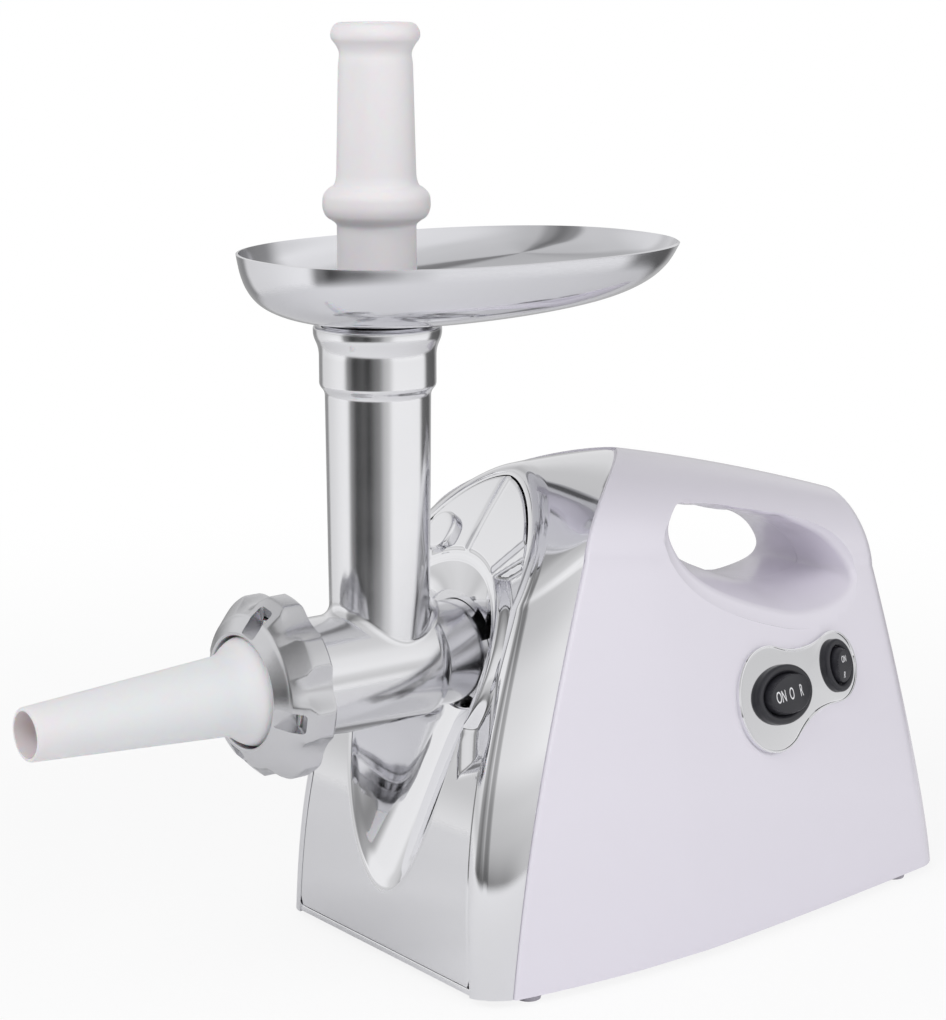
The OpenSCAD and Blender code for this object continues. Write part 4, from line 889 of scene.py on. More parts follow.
def shell_solid(inset, half_columns, rows, front=0.0, rear=0.0, foot=0.0):
    """The closed body inside the shell surface, moved past its front, rear and foot as given."""
    straight = 1 - REAR_ROUND / SHELL_RUN

    def along(v):
        """The share from seam to rear of a row, with rows close together where edges turn."""
        if v < SEAM_ROWS:
            return SEAM_BIT * (v / SEAM_ROWS) ** 2
        if v < REAR_ROWS:
            return mix(SEAM_BIT, straight, (v - SEAM_ROWS) / (REAR_ROWS - SEAM_ROWS))
        return 1 - (1 - straight) * (1 - math.sin((v - REAR_ROWS) / (1 - REAR_ROWS) * math.pi / 2))

    def spot(u, v):
        """A point on the right half, moved past the front, rear or foot."""
        p = shell_point(u, along(v), inset)
        return p - Vector((0, front if v == 0 else rear * (v > 0.5), foot))

    def across(side, p):
        """The same point on the right where side is 0, and on the left where it is 1."""
        return Vector((p.x * (1 - 2 * side), p.y, p.z))

    return joined(
        grid_of(2 * half_columns, rows, both_sides(spot)),
        grid_of(1, rows, lambda side, v: across(side, spot(0, v))),
        grid_of(1, half_columns, lambda side, u: across(side, spot(u, 0))),
        grid_of(1, half_columns, lambda side, u: across(side, spot(u, 1))))


def in_frame(bm):
    """Moves a shape built on the body's own y and z into the frame."""
    return set_down(bm, Matrix.Translation((0, TUBE_Y, BODY_Z)))


housing = carve(shell_solid(0, 60, 80), handle_tunnel(0, True))
hollow = carve(shell_solid(WALL, 30, 40, 6, WALL, 3), handle_tunnel(WALL, False))
housing = in_frame(carve(housing, hollow))
BLOCK = 400
for name, side in (("housing_right", 1), ("housing_left", -1)):
    block = bmesh.new()
    middle = Matrix.Translation((side * (SPLIT + BLOCK / 2), 100, 100))
    bmesh.ops.create_cube(block, size=BLOCK, matrix=middle)
    half = carve(housing.copy(), block, "INTERSECT")
    finished_piece(name + "_shell", half, white_shell, "housing", "white_plastic", name, sharp=30)
housing.free()

# %% [markdown]
# ## The chrome cowl
# A bright plated frame runs up both sides of the front and over the crest. Its section starts at
# the panel, turns over a soft ridge, and sweeps back to the seam as a gently bulging band. It
# could be a curve swept with a fixed section, but the band widens as it climbs, so a grid blends
# from the ridge to the shell's own edge instead. A small bar closes it along the foot.

# %% Cowl frame
RIM, RIM_TUCK, TUCK_ROWS = 5, 0.9, 0.06
RIDGE_SOFT = 4.5
COWL_WALL = 2.2
BAND_BULGE, SEAM_TUCK = 1.2, 0.8
RIM_ROWS, RIDGE_ROWS = 0.22, 0.52
RIDGE_SHARE, CREST_FADE = 0.3, 20
FOOT_BAR = (136, 2.6, 3.2)


def ridge_inward(u):
    """The direction from the ridge towards the panel, in the front view."""
    a, b = ridge_point(max(u - 0.01, 0)), ridge_point(min(u + 0.01, 1))
    run = Vector((b.x - a.x, 0, b.z - a.z)).normalized()
    return Vector((-run.z, 0, run.x)) if u < 1 else Vector((0, 0, -1))


def cowl_point(u, v):
    """A point on the cowl's outside, v from 0 at the panel to 1 at the seam."""
    ridge, inward = ridge_point(u), ridge_inward(u)
    reach = shell_point(u, 0) - ridge
    soft = min(RIDGE_SOFT, reach.length * RIDGE_SHARE)
    if v < RIM_ROWS:
        p = ridge + inward * mix(RIM, soft, v / RIM_ROWS)
        return Vector((p.x, front_y(p.z) + RIM_TUCK * (1 - ease(v / TUCK_ROWS)), p.z))
    if v < RIDGE_ROWS:
        inner = ridge + inward * soft
        inner.y = front_y(inner.z)
        outer = ridge + reach * (soft / reach.length)
        return bend(inner, ridge, outer, (v - RIM_ROWS) / (RIDGE_ROWS - RIM_ROWS))
    s = mix(soft / reach.length, 1, (v - RIDGE_ROWS) / (1 - RIDGE_ROWS))
    p = ridge + reach * s
    bulge = BAND_BULGE * 4 * s * (1 - s)
    tuck = SEAM_TUCK * (1 - ease((1 - s) * reach.length / SEAM_TUCK))
    p.x += (bulge - tuck) * min(p.x / CREST_FADE, 1)
    p.z += (0.5 * bulge - tuck) * (1 - min(p.x / CREST_FADE, 1))
    return p


cowl = grid_of(180, 44, both_sides(cowl_point))
tidy(cowl)
bmesh.ops.solidify(cowl, geom=cowl.faces[:], thickness=COWL_WALL)
foot_bar = bmesh.new()
bar_place = Matrix.Translation((0, 1, FOOT_BAR[2] / 2)) @ Matrix.Diagonal((*FOOT_BAR, 1))
bmesh.ops.create_cube(foot_bar, size=1, matrix=bar_place)
bmesh.ops.bevel(foot_bar, geom=foot_bar.edges[:], offset=0.8, segments=4, profile=0.5,
                affect="EDGES", material=-1)
cowl = in_frame(joined(cowl, foot_bar))
finished_piece("cowl_frame_shell", cowl, mirror_chrome, "housing", "chrome", "cowl_frame")

# %% [markdown]
# ## The outlines on the front panel
# The panel is drawn as rings round the barrel's axis, so every outline on it is asked for as a
# reach from that axis: the round funnel, which opens below the barrel into a pointed scoop, and
# the rim where the sheet ends. Reaches are found once for each column of the grid and kept.

# %% Panel outlines
AXIS = AXIS_Z - BODY_Z
FUNNEL, SCOOP, SCOOP_POWER = 42, 106, 1.6
PANEL_FOOT, PANEL_GAP = 3.2, 0.3
PANEL_COLUMNS = 320
RIDGE_LINE = [ridge_point(i / 60) for i in range(61)]


def scoop_reach(angle):
    """How far the funnel and its scoop reach from the axis, angle from straight down."""
    if abs(angle) > math.pi / 2:
        return FUNNEL

    def inside(reach):
        """True where the scoop's pointed outline is wider than the reach goes across."""
        down = reach * math.cos(angle) / SCOOP
        return reach * math.sin(abs(angle)) < FUNNEL * math.sqrt(max(1 - down ** SCOOP_POWER, 0))

    reach = last_inside(SCOOP, inside)
    return max(FUNNEL, reach) if abs(angle) > 0.9 else reach


def inside_rim(x, z):
    """Distance from the outline of the front face to a point inside it."""
    best = 1e9
    for a, b in zip(RIDGE_LINE, RIDGE_LINE[1:]):
        run = Vector((b.x - a.x, b.z - a.z))
        to = Vector((x - a.x, z - a.z))
        share = min(max(to.dot(run) / run.length_squared, 0), 1)
        distance = (to - run * share).length
        if distance < abs(best):
            best = distance * (1 if run.x * to.y - run.y * to.x > 0 else -1)
    return best


def panel_reach(angle):
    """How far the panel reaches from the axis before it meets the rim."""
    def inside(reach):
        """True short of the rim and above the bar along the foot."""
        x, z = reach * math.sin(abs(angle)), AXIS - reach * math.cos(angle)
        return inside_rim(x, z) > RIM + PANEL_GAP and z > PANEL_FOOT + PANEL_GAP
    return last_inside(160.0, inside)


def column_angle(share):
    """The angle of a column, from straight down."""
    return (share - 0.5) * 2 * math.pi


reaches = []
for i in range(PANEL_COLUMNS + 1):
    angle = column_angle(i / PANEL_COLUMNS)
    reaches.append((scoop_reach(angle), panel_reach(angle)))
for way, column in (("up", 0), ("down", PANEL_COLUMNS // 2)):
    print(f"funnel and panel reach {way}:", [round(reach, 1) for reach in reaches[column]], "mm")

# %% [markdown]
# ## The pressed front panel
# One sheet pressed deep and plated. The first rings of the grid run from the throat out along
# the funnel, and the rest run over the face to the rim. Beside the funnel lie two pockets, and
# above it the shield stands slightly proud. Rings round the funnel follow its sharp edge, which
# a square grid would cut into steps. The sheet gets its thickness last.

# %% Front panel
THROAT, THROAT_Y = 28, 43
FUNNEL_ROWS = 0.42
POCKET_DEPTH, POCKET_FOOT_DEPTH, SHIELD_PROUD = 4, 2, 1.2
POCKET_CLEAR, POCKET_SLOPE = 3, 5
POCKET_FOOT, POCKET_FOOT_RUN, POCKET_FOOT_SLOPE = 150, 9, 6
SHIELD_CLEAR, SHIELD_SLOPE = 2.5, 3
LIP, LIP_RUN, EDGE_TURN, EDGE_RUN = 0.35, 2.5, 0.4, 0.8
LEAST_FACE = 3
PANEL_ROWS = 150
SHEET = 1.2
SHIELD = [(0, 150), (23, 176), (38.7, 186.7), (36.9, 190.8), (33.6, 196.4), (29.3, 202),
          (24.4, 207.6), (20.4, 211.2), (13.2, 215.2), (6, 217.4), (0, 218)]
POCKET = [(20, 172), (45, 93), (60, 100), (56, 140), (50, 165), (39, 186)]


def inside_convex(points, x, z):
    """Distance from the nearest side of a convex outline, positive inside."""
    best = 1e9
    for a, b in zip(points, points[1:] + points[:1]):
        run = Vector((b[0] - a[0], b[1] - a[1])).normalized()
        best = min(best, run.x * (z - a[1]) - run.y * (x - a[0]))
    return best


def panel_y(x, z):
    """Where the pressed face is: the leaning front with its pockets and its shield."""
    x = abs(x)
    from_axis = math.hypot(x, z - AXIS)
    pocket = min(inside_convex(POCKET, x, z), from_axis - FUNNEL - POCKET_CLEAR)
    shield = min(inside_convex(SHIELD, x, z), from_axis - FUNNEL - SHIELD_CLEAR)
    deeper = ease((POCKET_FOOT - z) / POCKET_FOOT_RUN) * ease((pocket - 1) / POCKET_FOOT_SLOPE)
    return (front_y(z) + POCKET_DEPTH * ease(pocket / POCKET_SLOPE) + POCKET_FOOT_DEPTH * deeper
            - SHIELD_PROUD * ease(shield / SHIELD_SLOPE))


def panel_point(around, out):
    """A point on the panel, out from 0 in the throat to 1 at the rim."""
    angle = column_angle(around)
    edge, end = reaches[round(around * PANEL_COLUMNS)]
    edge = min(edge, end - LEAST_FACE)
    sin, cos = math.sin(angle), math.cos(angle)
    if out < FUNNEL_ROWS:
        share = out / FUNNEL_ROWS
        reach = mix(THROAT, edge, share)
        y = mix(THROAT_Y, panel_y(edge * sin, AXIS - edge * cos), share)
        return Vector((reach * sin, y + LIP * ease((share - 0.9) / 0.1), AXIS - reach * cos))
    reach = mix(edge, end, (out - FUNNEL_ROWS) / (1 - FUNNEL_ROWS))
    x, z = reach * sin, AXIS - reach * cos
    lip = LIP * (1 - ease((reach - edge) / LIP_RUN))
    turned_in = EDGE_TURN * ease((reach - end + EDGE_RUN) / EDGE_RUN)
    return Vector((x, panel_y(x, z) + lip + turned_in, z))


panel = grid_of(PANEL_COLUMNS, PANEL_ROWS, panel_point)
tidy(panel)
bmesh.ops.solidify(panel, geom=panel.faces[:], thickness=SHEET)
finished_piece("front_panel_sheet", in_frame(panel), mirror_chrome, "housing", "chrome",
               "front_panel", sharp=50)

# %% [markdown]
# ## The grinder head's barrel
# The head is a casting that is turned where it has to fit. The barrel and its neck are one spun
# profile, open at the mouth, and a drill makes way for the meat under the feed tube.

# %% Barrel
MOUTH, MOUTH_LIP = -60, 8.4
BARREL_R, BORE_R, LIP_R = 26.7, 23.7, 33.2
TUBE_BORE_R = 18.9

barrel = spun(rounded([
    (BORE_R, -45), (BORE_R, MOUTH + 5.5), (27.1, MOUTH + 5.5), (27.1, MOUTH), (LIP_R, MOUTH),
    (LIP_R, MOUTH + MOUTH_LIP), (BARREL_R, MOUTH + MOUTH_LIP, 1.5), (BARREL_R, 17, 2),
    (24.9, 21.2, 1), (23.6, 22), (23.6, 55), (15, 55), (15, 18), (BORE_R, 18), (BORE_R, -45)],
    0.6), turns=160)
set_down(barrel, ALONG_BARREL)
drill = bmesh.new()
bmesh.ops.create_cone(drill, cap_ends=True, segments=96, radius1=TUBE_BORE_R,
                      radius2=TUBE_BORE_R, depth=60)
set_down(drill, Matrix.Translation((0, TUBE_Y, AXIS_Z + 30)))
head = carve(barrel, drill)
print("barrel faces:", len(head.faces))

# %% [markdown]
# ## The feed tube
# The tube grows out of the barrel through a rolling fillet: a ball is rolled round the corner,
# and the tube's skin follows it down. A bevel along a Boolean's edge would do the same with
# uneven faces, which polished metal would show. The rows of the grid go under the barrel's skin,
# up the fillet, up the outside with its collar, over the lip and down the bore.

# %% Feed tube
TUBE_LOW_R, TUBE_HIGH_R = 22.5, 23.3
TUBE_TOP, COLLAR_Z = 293.9, 268.3
BALL = 6.0
SUNK = 0.9
BORE_FOOT_R = 24.6
FILLET_ROWS = 12
tube_profile = rounded([
    (TUBE_LOW_R, 0), (TUBE_HIGH_R, COLLAR_Z - 3.4, 3), (25.7, COLLAR_Z - 0.4, 1.2),
    (25.7, TUBE_TOP - 10, 6), (28.2, TUBE_TOP - 4.2, 2.5), (28.2, TUBE_TOP, 1.2),
    (24.5, TUBE_TOP, 1), (24.2, TUBE_TOP - 6, 2), (23.1, COLLAR_Z, 0.6),
    (TUBE_BORE_R, COLLAR_Z, 0.8), (TUBE_BORE_R, 0)], 1)
TUBE_ROWS = FILLET_ROWS + len(tube_profile) - 1


def fillet_at(angle, arc):
    """A point on the rolled ball's skin, arc from 0 on the barrel to 1 on the tube."""
    ball = polar(TUBE_LOW_R + BALL, angle, 0)
    ball.z = math.sqrt((BARREL_R + BALL) ** 2 - ball.x ** 2)
    to_tube = polar(TUBE_LOW_R, angle, ball.z) - ball
    shrink = BARREL_R / (BARREL_R + BALL)
    to_barrel = Vector((ball.x * shrink, ball.y, ball.z * shrink)) - ball
    swing = to_barrel.angle(to_tube)
    skin = to_barrel * math.sin((1 - arc) * swing) + to_tube * math.sin(arc * swing)
    return ball + skin / math.sin(swing)


def tube_point(around, along):
    """A point on the tube: under the barrel's skin, up the fillet, then along the profile."""
    angle = around * 2 * math.pi
    row = round(along * TUBE_ROWS)
    if row == 0:
        p = fillet_at(angle, 0)
        return Vector((p.x * SUNK, p.y, p.z * SUNK))
    if row <= FILLET_ROWS:
        return fillet_at(angle, (row - 1) / (FILLET_ROWS - 1))
    radius, z = tube_profile[row - FILLET_ROWS]
    if row < TUBE_ROWS:
        return polar(radius, angle, z - AXIS_Z)
    foot = BORE_FOOT_R ** 2 - (TUBE_BORE_R * math.cos(angle)) ** 2
    return polar(radius, angle, math.sqrt(max(foot, 0)))


tube = grid_of(144, TUBE_ROWS, tube_point)
set_down(tube, Matrix.Translation((0, TUBE_Y, AXIS_Z)))
tidy(tube)
head = joined(head, tube)
finished_piece("grinder_head_casting", head, polished_casting, "head", "cast_aluminium",
               "grinder_head", sharp=40)

# %% [markdown]
# ## The ring nut
# The nut is spun, and then its skin is pushed in between the eight lobes. The valleys are deeper
# at the front, where the hand pulls. Cutting them out with cylinders would leave hard edges, and
# a casting has none. Four slots for a spanner are cut across the front.

# %% Ring nut
NUT_REAR = MOUTH + MOUTH_LIP + 0.6
NUT_DEPTH, NUT_R = 18.8, 41.3
NUT_FRONT = NUT_REAR - NUT_DEPTH
NUT_SEAT = MOUTH - 3.3
LOBE_PITCH, LOBE_AT, VALLEY_HALF = 45, 12, 14.5
VALLEY_REAR, VALLEY_FRONT, FACE_R = 3.4, 6.2, 34.4
SLOT_R, SLOT_TILT = 39.5, 14

nut = spun(rounded([
    (33.6, NUT_REAR), (NUT_R - 0.8, NUT_REAR, 1), (NUT_R, NUT_REAR - 1.2, 1),
    (NUT_R, NUT_FRONT + 9.4, 2), (NUT_R - 1.6, NUT_FRONT + 7.4, 1.5), (33.4, NUT_FRONT + 0.2, 1.2),
    (32, NUT_FRONT - 0.4, 1), (26, NUT_FRONT - 4.4, 0.8), (24.8, NUT_FRONT - 4, 0.6),
    (24.8, NUT_SEAT), (33.6, NUT_SEAT), (33.6, NUT_REAR)], 0.5, steps=4), turns=320)
for vertex in nut.verts:
    radius = math.hypot(vertex.co.x, vertex.co.y)
    turned_by = math.degrees(math.atan2(vertex.co.y, vertex.co.x))
    from_valley = abs((turned_by - LOBE_AT) % LOBE_PITCH - LOBE_PITCH / 2)
    share = max(0, 1 - (from_valley / VALLEY_HALF) ** 2)
    forward = min(max((NUT_REAR - vertex.co.z) / NUT_DEPTH, 0), 1)
    limit = NUT_R - mix(VALLEY_REAR, VALLEY_FRONT, forward) * share ** 1.15
    if radius > max(limit, FACE_R):
        vertex.co.xy *= limit / radius
for i in range(4):
    slot_cut = bmesh.new()
    bmesh.ops.create_cube(slot_cut, size=1, matrix=Matrix.Diagonal((24, 9, 12, 1)))
    lengthwise = [e for e in slot_cut.edges
                  if abs((e.verts[0].co - e.verts[1].co).normalized().x) > 0.9]
    bmesh.ops.bevel(slot_cut, geom=lengthwise, offset=1.6, segments=4, profile=0.5,
                    affect="EDGES", material=-1)
    set_down(slot_cut, Matrix.Rotation(math.radians(LOBE_AT + 90 * i), 4, "Z")
             @ Matrix.Translation((SLOT_R, 0, NUT_FRONT - 1.2))
             @ Matrix.Rotation(math.radians(SLOT_TILT), 4, "Y"))
    nut = carve(nut, slot_cut)
finished_piece("ring_nut_casting", set_down(nut, ALONG_BARREL), raw_casting, "nut",
               "cast_aluminium", "ring_nut")

# %% [markdown]
# ## The sausage nozzle
# A long thin cone with a bell at its root, whose flange the ring nut holds against the barrel's
# mouth. It is hollow, so the profile runs out along the outside and back along the bore.

# %% Nozzle
TIP, BELL = -177.5, NUT_FRONT - 14
FLANGE_FRONT, FLANGE_REAR = MOUTH - 3.1, MOUTH - 0.5
nozzle = spun(rounded([
    (9.9, TIP), (11.1, TIP, 0.5), (11.5, TIP + 0.8, 0.5), (17.6, BELL, 9), (19.4, BELL + 5, 5),
    (22.6, BELL + 9, 3), (24.3, BELL + 13, 3), (24.5, FLANGE_FRONT), (31, FLANGE_FRONT),
    (31, FLANGE_REAR), (21.3, FLANGE_REAR), (21.3, NUT_FRONT + 1), (20.6, BELL + 12.6, 3),
    (17.2, BELL + 5, 4), (16, BELL, 8), (9.9, TIP)], 0.4))
finished_piece("sausage_nozzle_turned", set_down(nozzle, ALONG_BARREL), milky_plastic, "head",
               "milky_plastic", "sausage_nozzle")

# %% [markdown]
# ## The pusher
# A stem that fits the tube's bore, a collar that stops it, and a waisted handle with a soft knob.

# %% Pusher
TOP = 424
COLLAR = TOP - 75
STEM = COLLAR - 134
pusher = spun(rounded([
    (0, STEM), (17.4, STEM, 1), (18.6, STEM + 1.2, 1), (18.6, STEM + 16, 4), (17.8, STEM + 44, 6),
    (17.8, STEM + 60, 4), (17.2, COLLAR - 11, 1.2), (19.2, COLLAR - 9.4, 1.5),
    (22, COLLAR - 7.8, 2.5), (23.5, COLLAR - 4, 3.5), (23.2, COLLAR + 1.6, 3.5),
    (20.6, COLLAR + 4.4, 2.5), (18.3, COLLAR + 5.6, 1.5), (17.3, COLLAR + 9, 3),
    (16, TOP - 17, 6), (15.3, TOP - 13, 2.5), (17, TOP - 9.6, 2.5), (19.2, TOP - 7, 2),
    (19.2, TOP - 4, 2), (17.4, TOP - 1, 2), (14.6, TOP - 0.1, 1.2), (12.6, TOP - 2, 1.2),
    (0, TOP - 2.6)], 0.6))
finished_piece("pusher_turned", set_down(pusher, UP_THE_TUBE), milky_plastic, "pusher_body",
               "milky_plastic", "pusher")

# %% [markdown]
# ## The tray
# Pressed from one sheet. The grid's rings run up the plain neck, over a bend onto the floor, and
# then change from round to a long rounded rectangle as they rise to the rim. Rings do this more
# evenly than a flat plate with its border pulled up. The sheet's section is a smooth curve
# through a few marks of spread and height.

# %% Tray
NECK_R, NECK_BEND, NECK_RISE = 22.9, 5, 3
NECK_FOOT = TUBE_TOP - 22
TRAY_FLOOR, TRAY_RIM = TUBE_TOP + 3.4, 325.2
TRAY_HALF_W, TRAY_HALF_L, TRAY_SHIFT = 72, 104, 46.6
TRAY_MARKS = [(0, 0), (0.3, 0.05), (0.55, 0.14), (0.74, 0.27), (0.87, 0.46), (0.95, 0.7), (1, 1)]
NECK_ROWS, BEND_ROWS = 0.12, 0.2


def tray_rise(share):
    """Spread and height of a tray ring, on a smooth curve through the marks."""
    last = len(TRAY_MARKS) - 1
    i = min(int(share * last), last - 1)
    marks = [Vector(TRAY_MARKS[min(max(i + k, 0), last)]) for k in (-1, 0, 1, 2)]
    return curve_between(*marks, share * last - i)


def tray_point(around, along):
    """A point on the tray's sheet, along from 0 at the neck's foot to 1 at the rim."""
    angle = around * 2 * math.pi
    if along < NECK_ROWS:
        return polar(NECK_R, angle, mix(NECK_FOOT, TRAY_FLOOR - NECK_RISE, along / NECK_ROWS))
    if along < BEND_ROWS:
        quarter = (along - NECK_ROWS) / (BEND_ROWS - NECK_ROWS) * math.pi / 2
        radius = NECK_R + NECK_BEND * (1 - math.cos(quarter))
        return polar(radius, angle, TRAY_FLOOR - NECK_RISE * (1 - math.sin(quarter)))
    spread, height = tray_rise((along - BEND_ROWS) / (1 - BEND_ROWS))
    power = 2 / mix(2, 2.35, spread)
    u, v = math.cos(angle), math.sin(angle)
    half_w, half_l = (
        mix(NECK_R + NECK_BEND, half, spread) for half in (TRAY_HALF_W, TRAY_HALF_L))
    return Vector((half_w * math.copysign(abs(u) ** power, u),
                   TRAY_SHIFT * spread + half_l * math.copysign(abs(v) ** power, v),
                   mix(TRAY_FLOOR, TRAY_RIM, height)))


tray = grid_of(180, 72, tray_point)
tidy(tray)
bmesh.ops.solidify(tray, geom=tray.faces[:], thickness=SHEET)
finished_piece("tray_pressing", set_down(tray, UP_THE_TUBE), tray_metal, "tray_body", "chrome",
               "tray")

# %% [markdown]
# ## Where the switches sit
# The switch plate lies on the leaning side, so its frame is built from the side's own slope: X
# runs to the rear, Y up the side and Z out of the housing. Each switch is described once, with
# its spot on the plate, its rocker's oval, how its face bows, and how it is tipped at rest.

# %% Switch frame
PLATE_Y, PLATE_Z = 199, 105
PLATE_SINK, PLATE_PROUD = 0.9, 2
MAIN = {"spot": (-15, 0.5), "length": 33.2, "height": 19.2, "rise": 1.5, "edge": 5.2, "tip": 0,
        "body": "main_switch_rocker"}
REVERSE = {"spot": (32, 5), "length": 18.2, "height": 13.7, "rise": 1.0, "edge": 4.2, "tip": 9,
           "body": "reverse_switch_rocker"}


def side_frame():
    """The matrix that sets a shape down on the housing's side at the plate's middle."""
    slope_y = (side_x(PLATE_Y + 20, PLATE_Z) - side_x(PLATE_Y - 20, PLATE_Z)) / 40
    slope_z = (side_x(PLATE_Y, PLATE_Z + 12) - side_x(PLATE_Y, PLATE_Z - 12)) / 24
    out = Vector((1, -slope_y, -slope_z)).normalized()
    along = Vector((0, 0, 1)).cross(out).normalized()
    turned = Matrix((along, out.cross(along), out)).transposed().to_4x4()
    middle = Vector((side_x(PLATE_Y, PLATE_Z), PLATE_Y + TUBE_Y, PLATE_Z + BODY_Z))
    return Matrix.Translation(middle) @ turned @ Matrix.Translation((0, 0, -PLATE_SINK))


ON_SIDE = side_frame()
ON_MAIN, ON_REVERSE = (
    ON_SIDE @ Matrix.Translation((*switch["spot"], PLATE_PROUD)) for switch in (MAIN, REVERSE))
print("switch plate at", [round(c, 1) for c in ON_SIDE.translation], "mm")

# %% [markdown]
# ## The peanut-shaped plate
# Two round lobes are joined by a waist, whose sides are arcs of a third circle that touches both
# lobes from outside. A point lies on the plate when it is in a lobe, or between the lobes and
# clear of both waist circles. The plate's edge is then rolled over as a pressing's is.

# %% Switch plate
BIG_LOBE, BIG_R = Vector((MAIN["spot"][0] - 8, 0)), 25.5
SMALL_LOBE, SMALL_R = Vector((REVERSE["spot"][0] - 1, 5)), 17.5
WAIST, MIDDLE_ALONG = 60, 26
gap = SMALL_LOBE - BIG_LOBE
onward, sideways = gap.normalized(), Vector((-gap.y, gap.x)).normalized()
foot_along = ((WAIST + BIG_R) ** 2 - (WAIST + SMALL_R) ** 2 + gap.length ** 2) / (2 * gap.length)
foot_across = math.sqrt((WAIST + BIG_R) ** 2 - foot_along ** 2)
waist_centres = [
    BIG_LOBE + onward * foot_along + sideways * foot_across * side for side in (1, -1)]
PLATE_MIDDLE = BIG_LOBE + onward * MIDDLE_ALONG
SMALL_SHARE, PLATE_CROWN = 0.02, 1.95
PLATE_EDGE = [(-3, 1.9), (-1.7, 2.0), (-1.4, 2.45), (-1.0, 2.5), (-0.4, 2.4), (0, 1.9), (0, 0)]


def inside_peanut(p):
    """True inside one of the lobes, or between them and clear of both waist circles."""
    if (p - BIG_LOBE).length < BIG_R or (p - SMALL_LOBE).length < SMALL_R:
        return True
    along, spread = (p - BIG_LOBE).dot(onward), abs((p - BIG_LOBE).dot(sideways))
    if not 0 < along < gap.length:
        return False
    between = foot_across * min(
        along / foot_along, (gap.length - along) / (gap.length - foot_along))
    return spread < between and all((p - centre).length > WAIST for centre in waist_centres)


def plate_point(around, along):
    """A point on the plate, from next to its middle out to the rolled edge and down its side."""
    angle = around * 2 * math.pi
    outward = Vector((math.cos(angle), math.sin(angle)))
    reach = last_inside(90.0, lambda distance: inside_peanut(PLATE_MIDDLE + outward * distance))
    row = round(along * len(PLATE_EDGE))
    if row == 0:
        near = PLATE_MIDDLE + outward * SMALL_SHARE * (reach - 4)
        return near.to_3d() + Vector((0, 0, PLATE_CROWN))
    grow, z = PLATE_EDGE[row - 1]
    return (PLATE_MIDDLE + outward * (reach + grow)).to_3d() + Vector((0, 0, z))


plate = close_holes(grid_of(220, len(PLATE_EDGE), plate_point))
finished_piece("switch_plate_pressing", set_down(plate, ON_SIDE), mirror_chrome, "housing",
               "chrome", "switch_plate")

# %% [markdown]
# ## The bezels
# Each bezel is a turned ring that is stretched to an oval afterwards, so its section stays the
# same all the way round.

# %% Bezels
RING_R = 10


def bezel(name, node, length, height, hole_length, where):
    """An oval bezel whose outside is length by height."""
    inner = RING_R - (length - hole_length) / 2
    ring = spun(rounded([
        (RING_R, 0), (RING_R, 1.8, 0.7), (RING_R - 0.9, 2.8, 0.7), (inner + 1.6, 2.9, 0.8),
        (inner, 1.6, 1), (inner, -8), (RING_R, -8, 0.1), (RING_R, 0)], 0.4), turns=96)
    for vertex in ring.verts:
        offset = math.hypot(vertex.co.x, vertex.co.y) - RING_R
        turn_at = math.atan2(vertex.co.y, vertex.co.x)
        vertex.co.x = (length / 2 + offset) * math.cos(turn_at)
        vertex.co.y = (height / 2 + offset) * math.sin(turn_at)
    finished_piece(name, set_down(ring, where), switch_black, "housing", "black_plastic", node)


bezel("main_bezel", "main_switch_body", 43, 28, 34, ON_MAIN)
bezel("reverse_bezel", "reverse_switch_body", 22, 26, 14.5, ON_REVERSE)

# %% [markdown]
# ## The rockers
# A rocker is turned about its pin like a spindle, then cut by a wide cylinder, which leaves the
# shallow bow of its face, and its rim is softened. The main rocker's length runs along the
# plate. The reverse rocker's stands upright, and it springs back, so it rests tipped.

# %% Rockers
ROCKER_DEPTH, RIM_ANGLE = 4, 35


def bow_radius(switch):
    """The radius of the cylinder that a rocker's face is a part of."""
    return (switch["length"] ** 2 / 4 + switch["rise"] ** 2) / (2 * switch["rise"])


def rocker(name, node, switch, where, quarter_turn):
    """A rocker's cap at its place, with its length along the plate or a quarter turn from it."""
    half_l, half_h = switch["length"] / 2, switch["height"] / 2
    profile = [(half_l * math.cos(a), half_h * math.sin(a))
               for a in (math.pi * (i / 40 - 0.5) for i in range(41))]
    profile[0], profile[-1] = (0, -half_h), (0, half_h)
    spindle = set_down(spun(profile, turns=160), Matrix.Rotation(math.pi / 2, 4, "X"))
    radius = bow_radius(switch)
    bow = bmesh.new()
    bmesh.ops.create_cone(bow, cap_ends=True, segments=900, radius1=radius, radius2=radius,
                          depth=4 * half_h)
    set_down(bow, Matrix.Translation((0, 0, switch["edge"] + switch["rise"] - radius))
             @ Matrix.Rotation(math.pi / 2, 4, "X"))
    cap = carve(spindle, bow, "INTERSECT")
    bmesh.ops.bisect_plane(cap, geom=cap.verts[:] + cap.edges[:] + cap.faces[:], dist=0.001,
                           plane_co=(0, 0, -ROCKER_DEPTH), plane_no=(0, 0, -1), clear_outer=True)
    close_holes(cap)
    rim = [e for e in cap.edges if len(e.link_faces) == 2
           and math.degrees(e.calc_face_angle(0)) > RIM_ANGLE and min(v.co.z for v in e.verts) > 0]
    bmesh.ops.bevel(cap, geom=rim, offset=0.5, segments=3, profile=0.5, affect="EDGES",
                    material=-1)
    tipped = Matrix.Rotation(math.radians(switch["tip"]), 4, "X")
    if quarter_turn:
        tipped = tipped @ Matrix.Rotation(math.pi / 2, 4, "Z")
    finished_piece(name, set_down(cap, where @ tipped), switch_black, switch["body"],
                   "black_plastic", node)


rocker("main_rocker_cap", "main_rocker", MAIN, ON_MAIN, False)
rocker("reverse_rocker_cap", "reverse_rocker", REVERSE, ON_REVERSE, True)

# %% [markdown]
# ## Lettering on the switches
# Only the plain words that any such switch carries: on, off and reverse. A text curve becomes a
# mesh, is made narrower, and is lifted onto the rocker's bowed face.

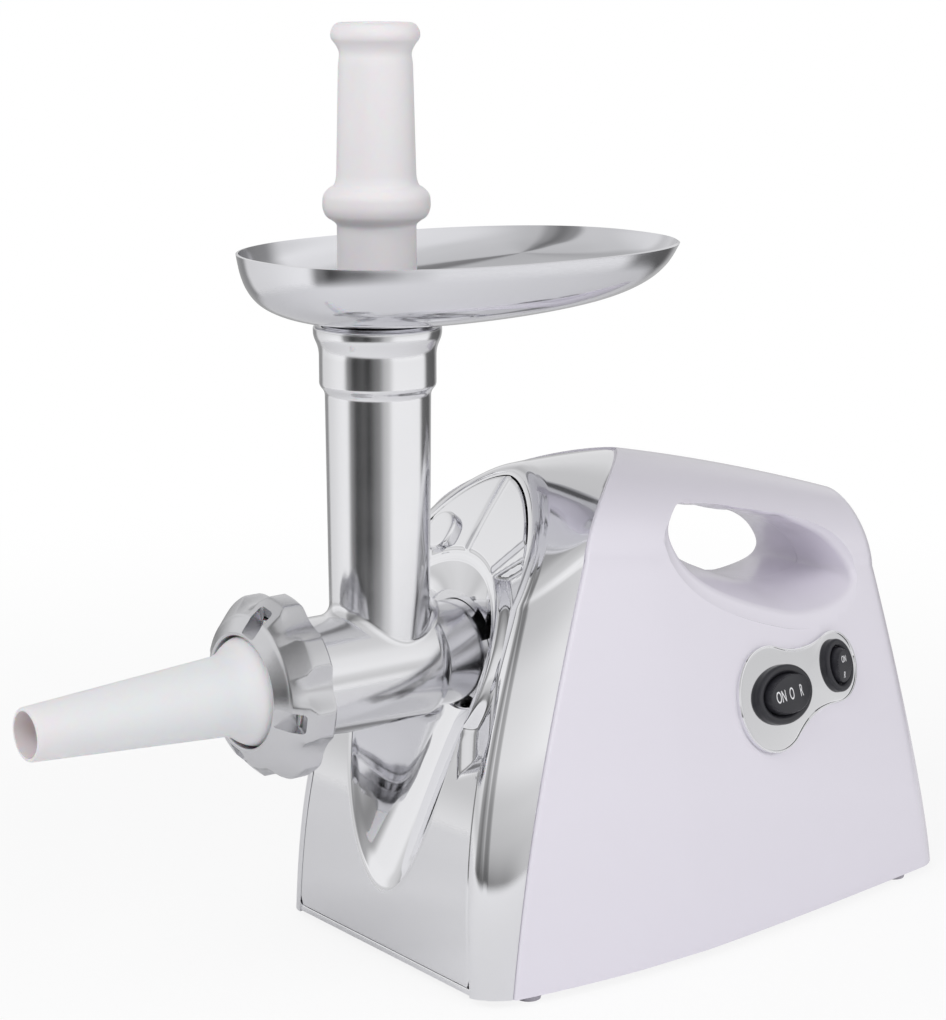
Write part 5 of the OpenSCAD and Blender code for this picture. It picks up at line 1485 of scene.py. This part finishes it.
# %% Lettering
LETTER_HALF_THICK = 0.06
NARROWED = 0.55
PRINT_LIFT = 0.05


def letters(name, words, size, x, y, switch, where):
    """Print on a rocker's bowed face, as a mesh of thin letters that follows the bow."""
    curve = bpy.data.curves.new(name, "FONT")
    curve.body = words
    curve.size = size * MM
    curve.align_x = "CENTER"
    curve.align_y = "CENTER"
    curve.extrude = LETTER_HALF_THICK * MM
    text = bpy.data.objects.new(name, curve)
    scene.collection.objects.link(text)
    bm = bmesh.new()
    bm.from_mesh(text.evaluated_get(bpy.context.evaluated_depsgraph_get()).to_mesh())
    bpy.data.objects.remove(text)
    bmesh.ops.scale(bm, vec=(NARROWED / MM, 1 / MM, 1 / MM), verts=bm.verts)
    bmesh.ops.translate(bm, vec=(x, y, 0), verts=bm.verts)
    radius, tip = bow_radius(switch), switch["tip"]
    centre = switch["edge"] + switch["rise"] - radius
    for vertex in bm.verts:
        run = vertex.co.y if tip else vertex.co.x
        vertex.co.z += centre + math.sqrt(radius ** 2 - run ** 2) + PRINT_LIFT
    set_down(bm, where @ Matrix.Rotation(math.radians(tip), 4, "X"))
    finished_piece(name, bm, print_white, switch["body"], "black_plastic")


letters("mark_on", "ON", 8.0, -9.2, 0, MAIN, ON_MAIN)
letters("mark_off", "O", 8.2, -1.4, 0, MAIN, ON_MAIN)
letters("mark_run_back", "R", 8.2, 6.6, 0, MAIN, ON_MAIN)
letters("mark_reverse_on", "ON", 4.6, -0.8, 3.6, REVERSE, ON_REVERSE)
letters("mark_reverse", "R", 4.6, -0.8, -4.2, REVERSE, ON_REVERSE)

# %% [markdown]
# ## The lock button
# An oval chrome button stands on the shield, square to the leaning face. It is turned round, and
# its two halves are then moved apart to make the oval.

# %% Lock button
LOCK_X, LOCK_Z = -21, BODY_H - 34
LOCK_SPREAD, LOCK_BLEND = 1.5, 3
LOCK_SLOPE = FRONT_LEAN * LEAN_POWER / (BODY_H - 1) * (LOCK_Z / (BODY_H - 1)) ** (LEAN_POWER - 1)
ON_LOCK = (Matrix.Translation((LOCK_X, front_y(LOCK_Z) + TUBE_Y, LOCK_Z + BODY_Z))
           @ Matrix.Rotation(math.pi / 2 - math.atan(LOCK_SLOPE), 4, "X"))
lock_profile = [(0, -8), (8.5, -8), (8.5, 3.2, 1.0), (7.6, 4.6, 1.4), (5, 4.8, 2), (0, 4.75)]
lock = spun(rounded(lock_profile, 0.5), turns=96)
for vertex in lock.verts:
    vertex.co.y += math.copysign(LOCK_SPREAD * min(abs(vertex.co.y) / LOCK_BLEND, 1), vertex.co.y)
finished_piece("lock_button_cap", set_down(lock, ON_LOCK), mirror_chrome, "lock", "chrome",
               "lock_button")
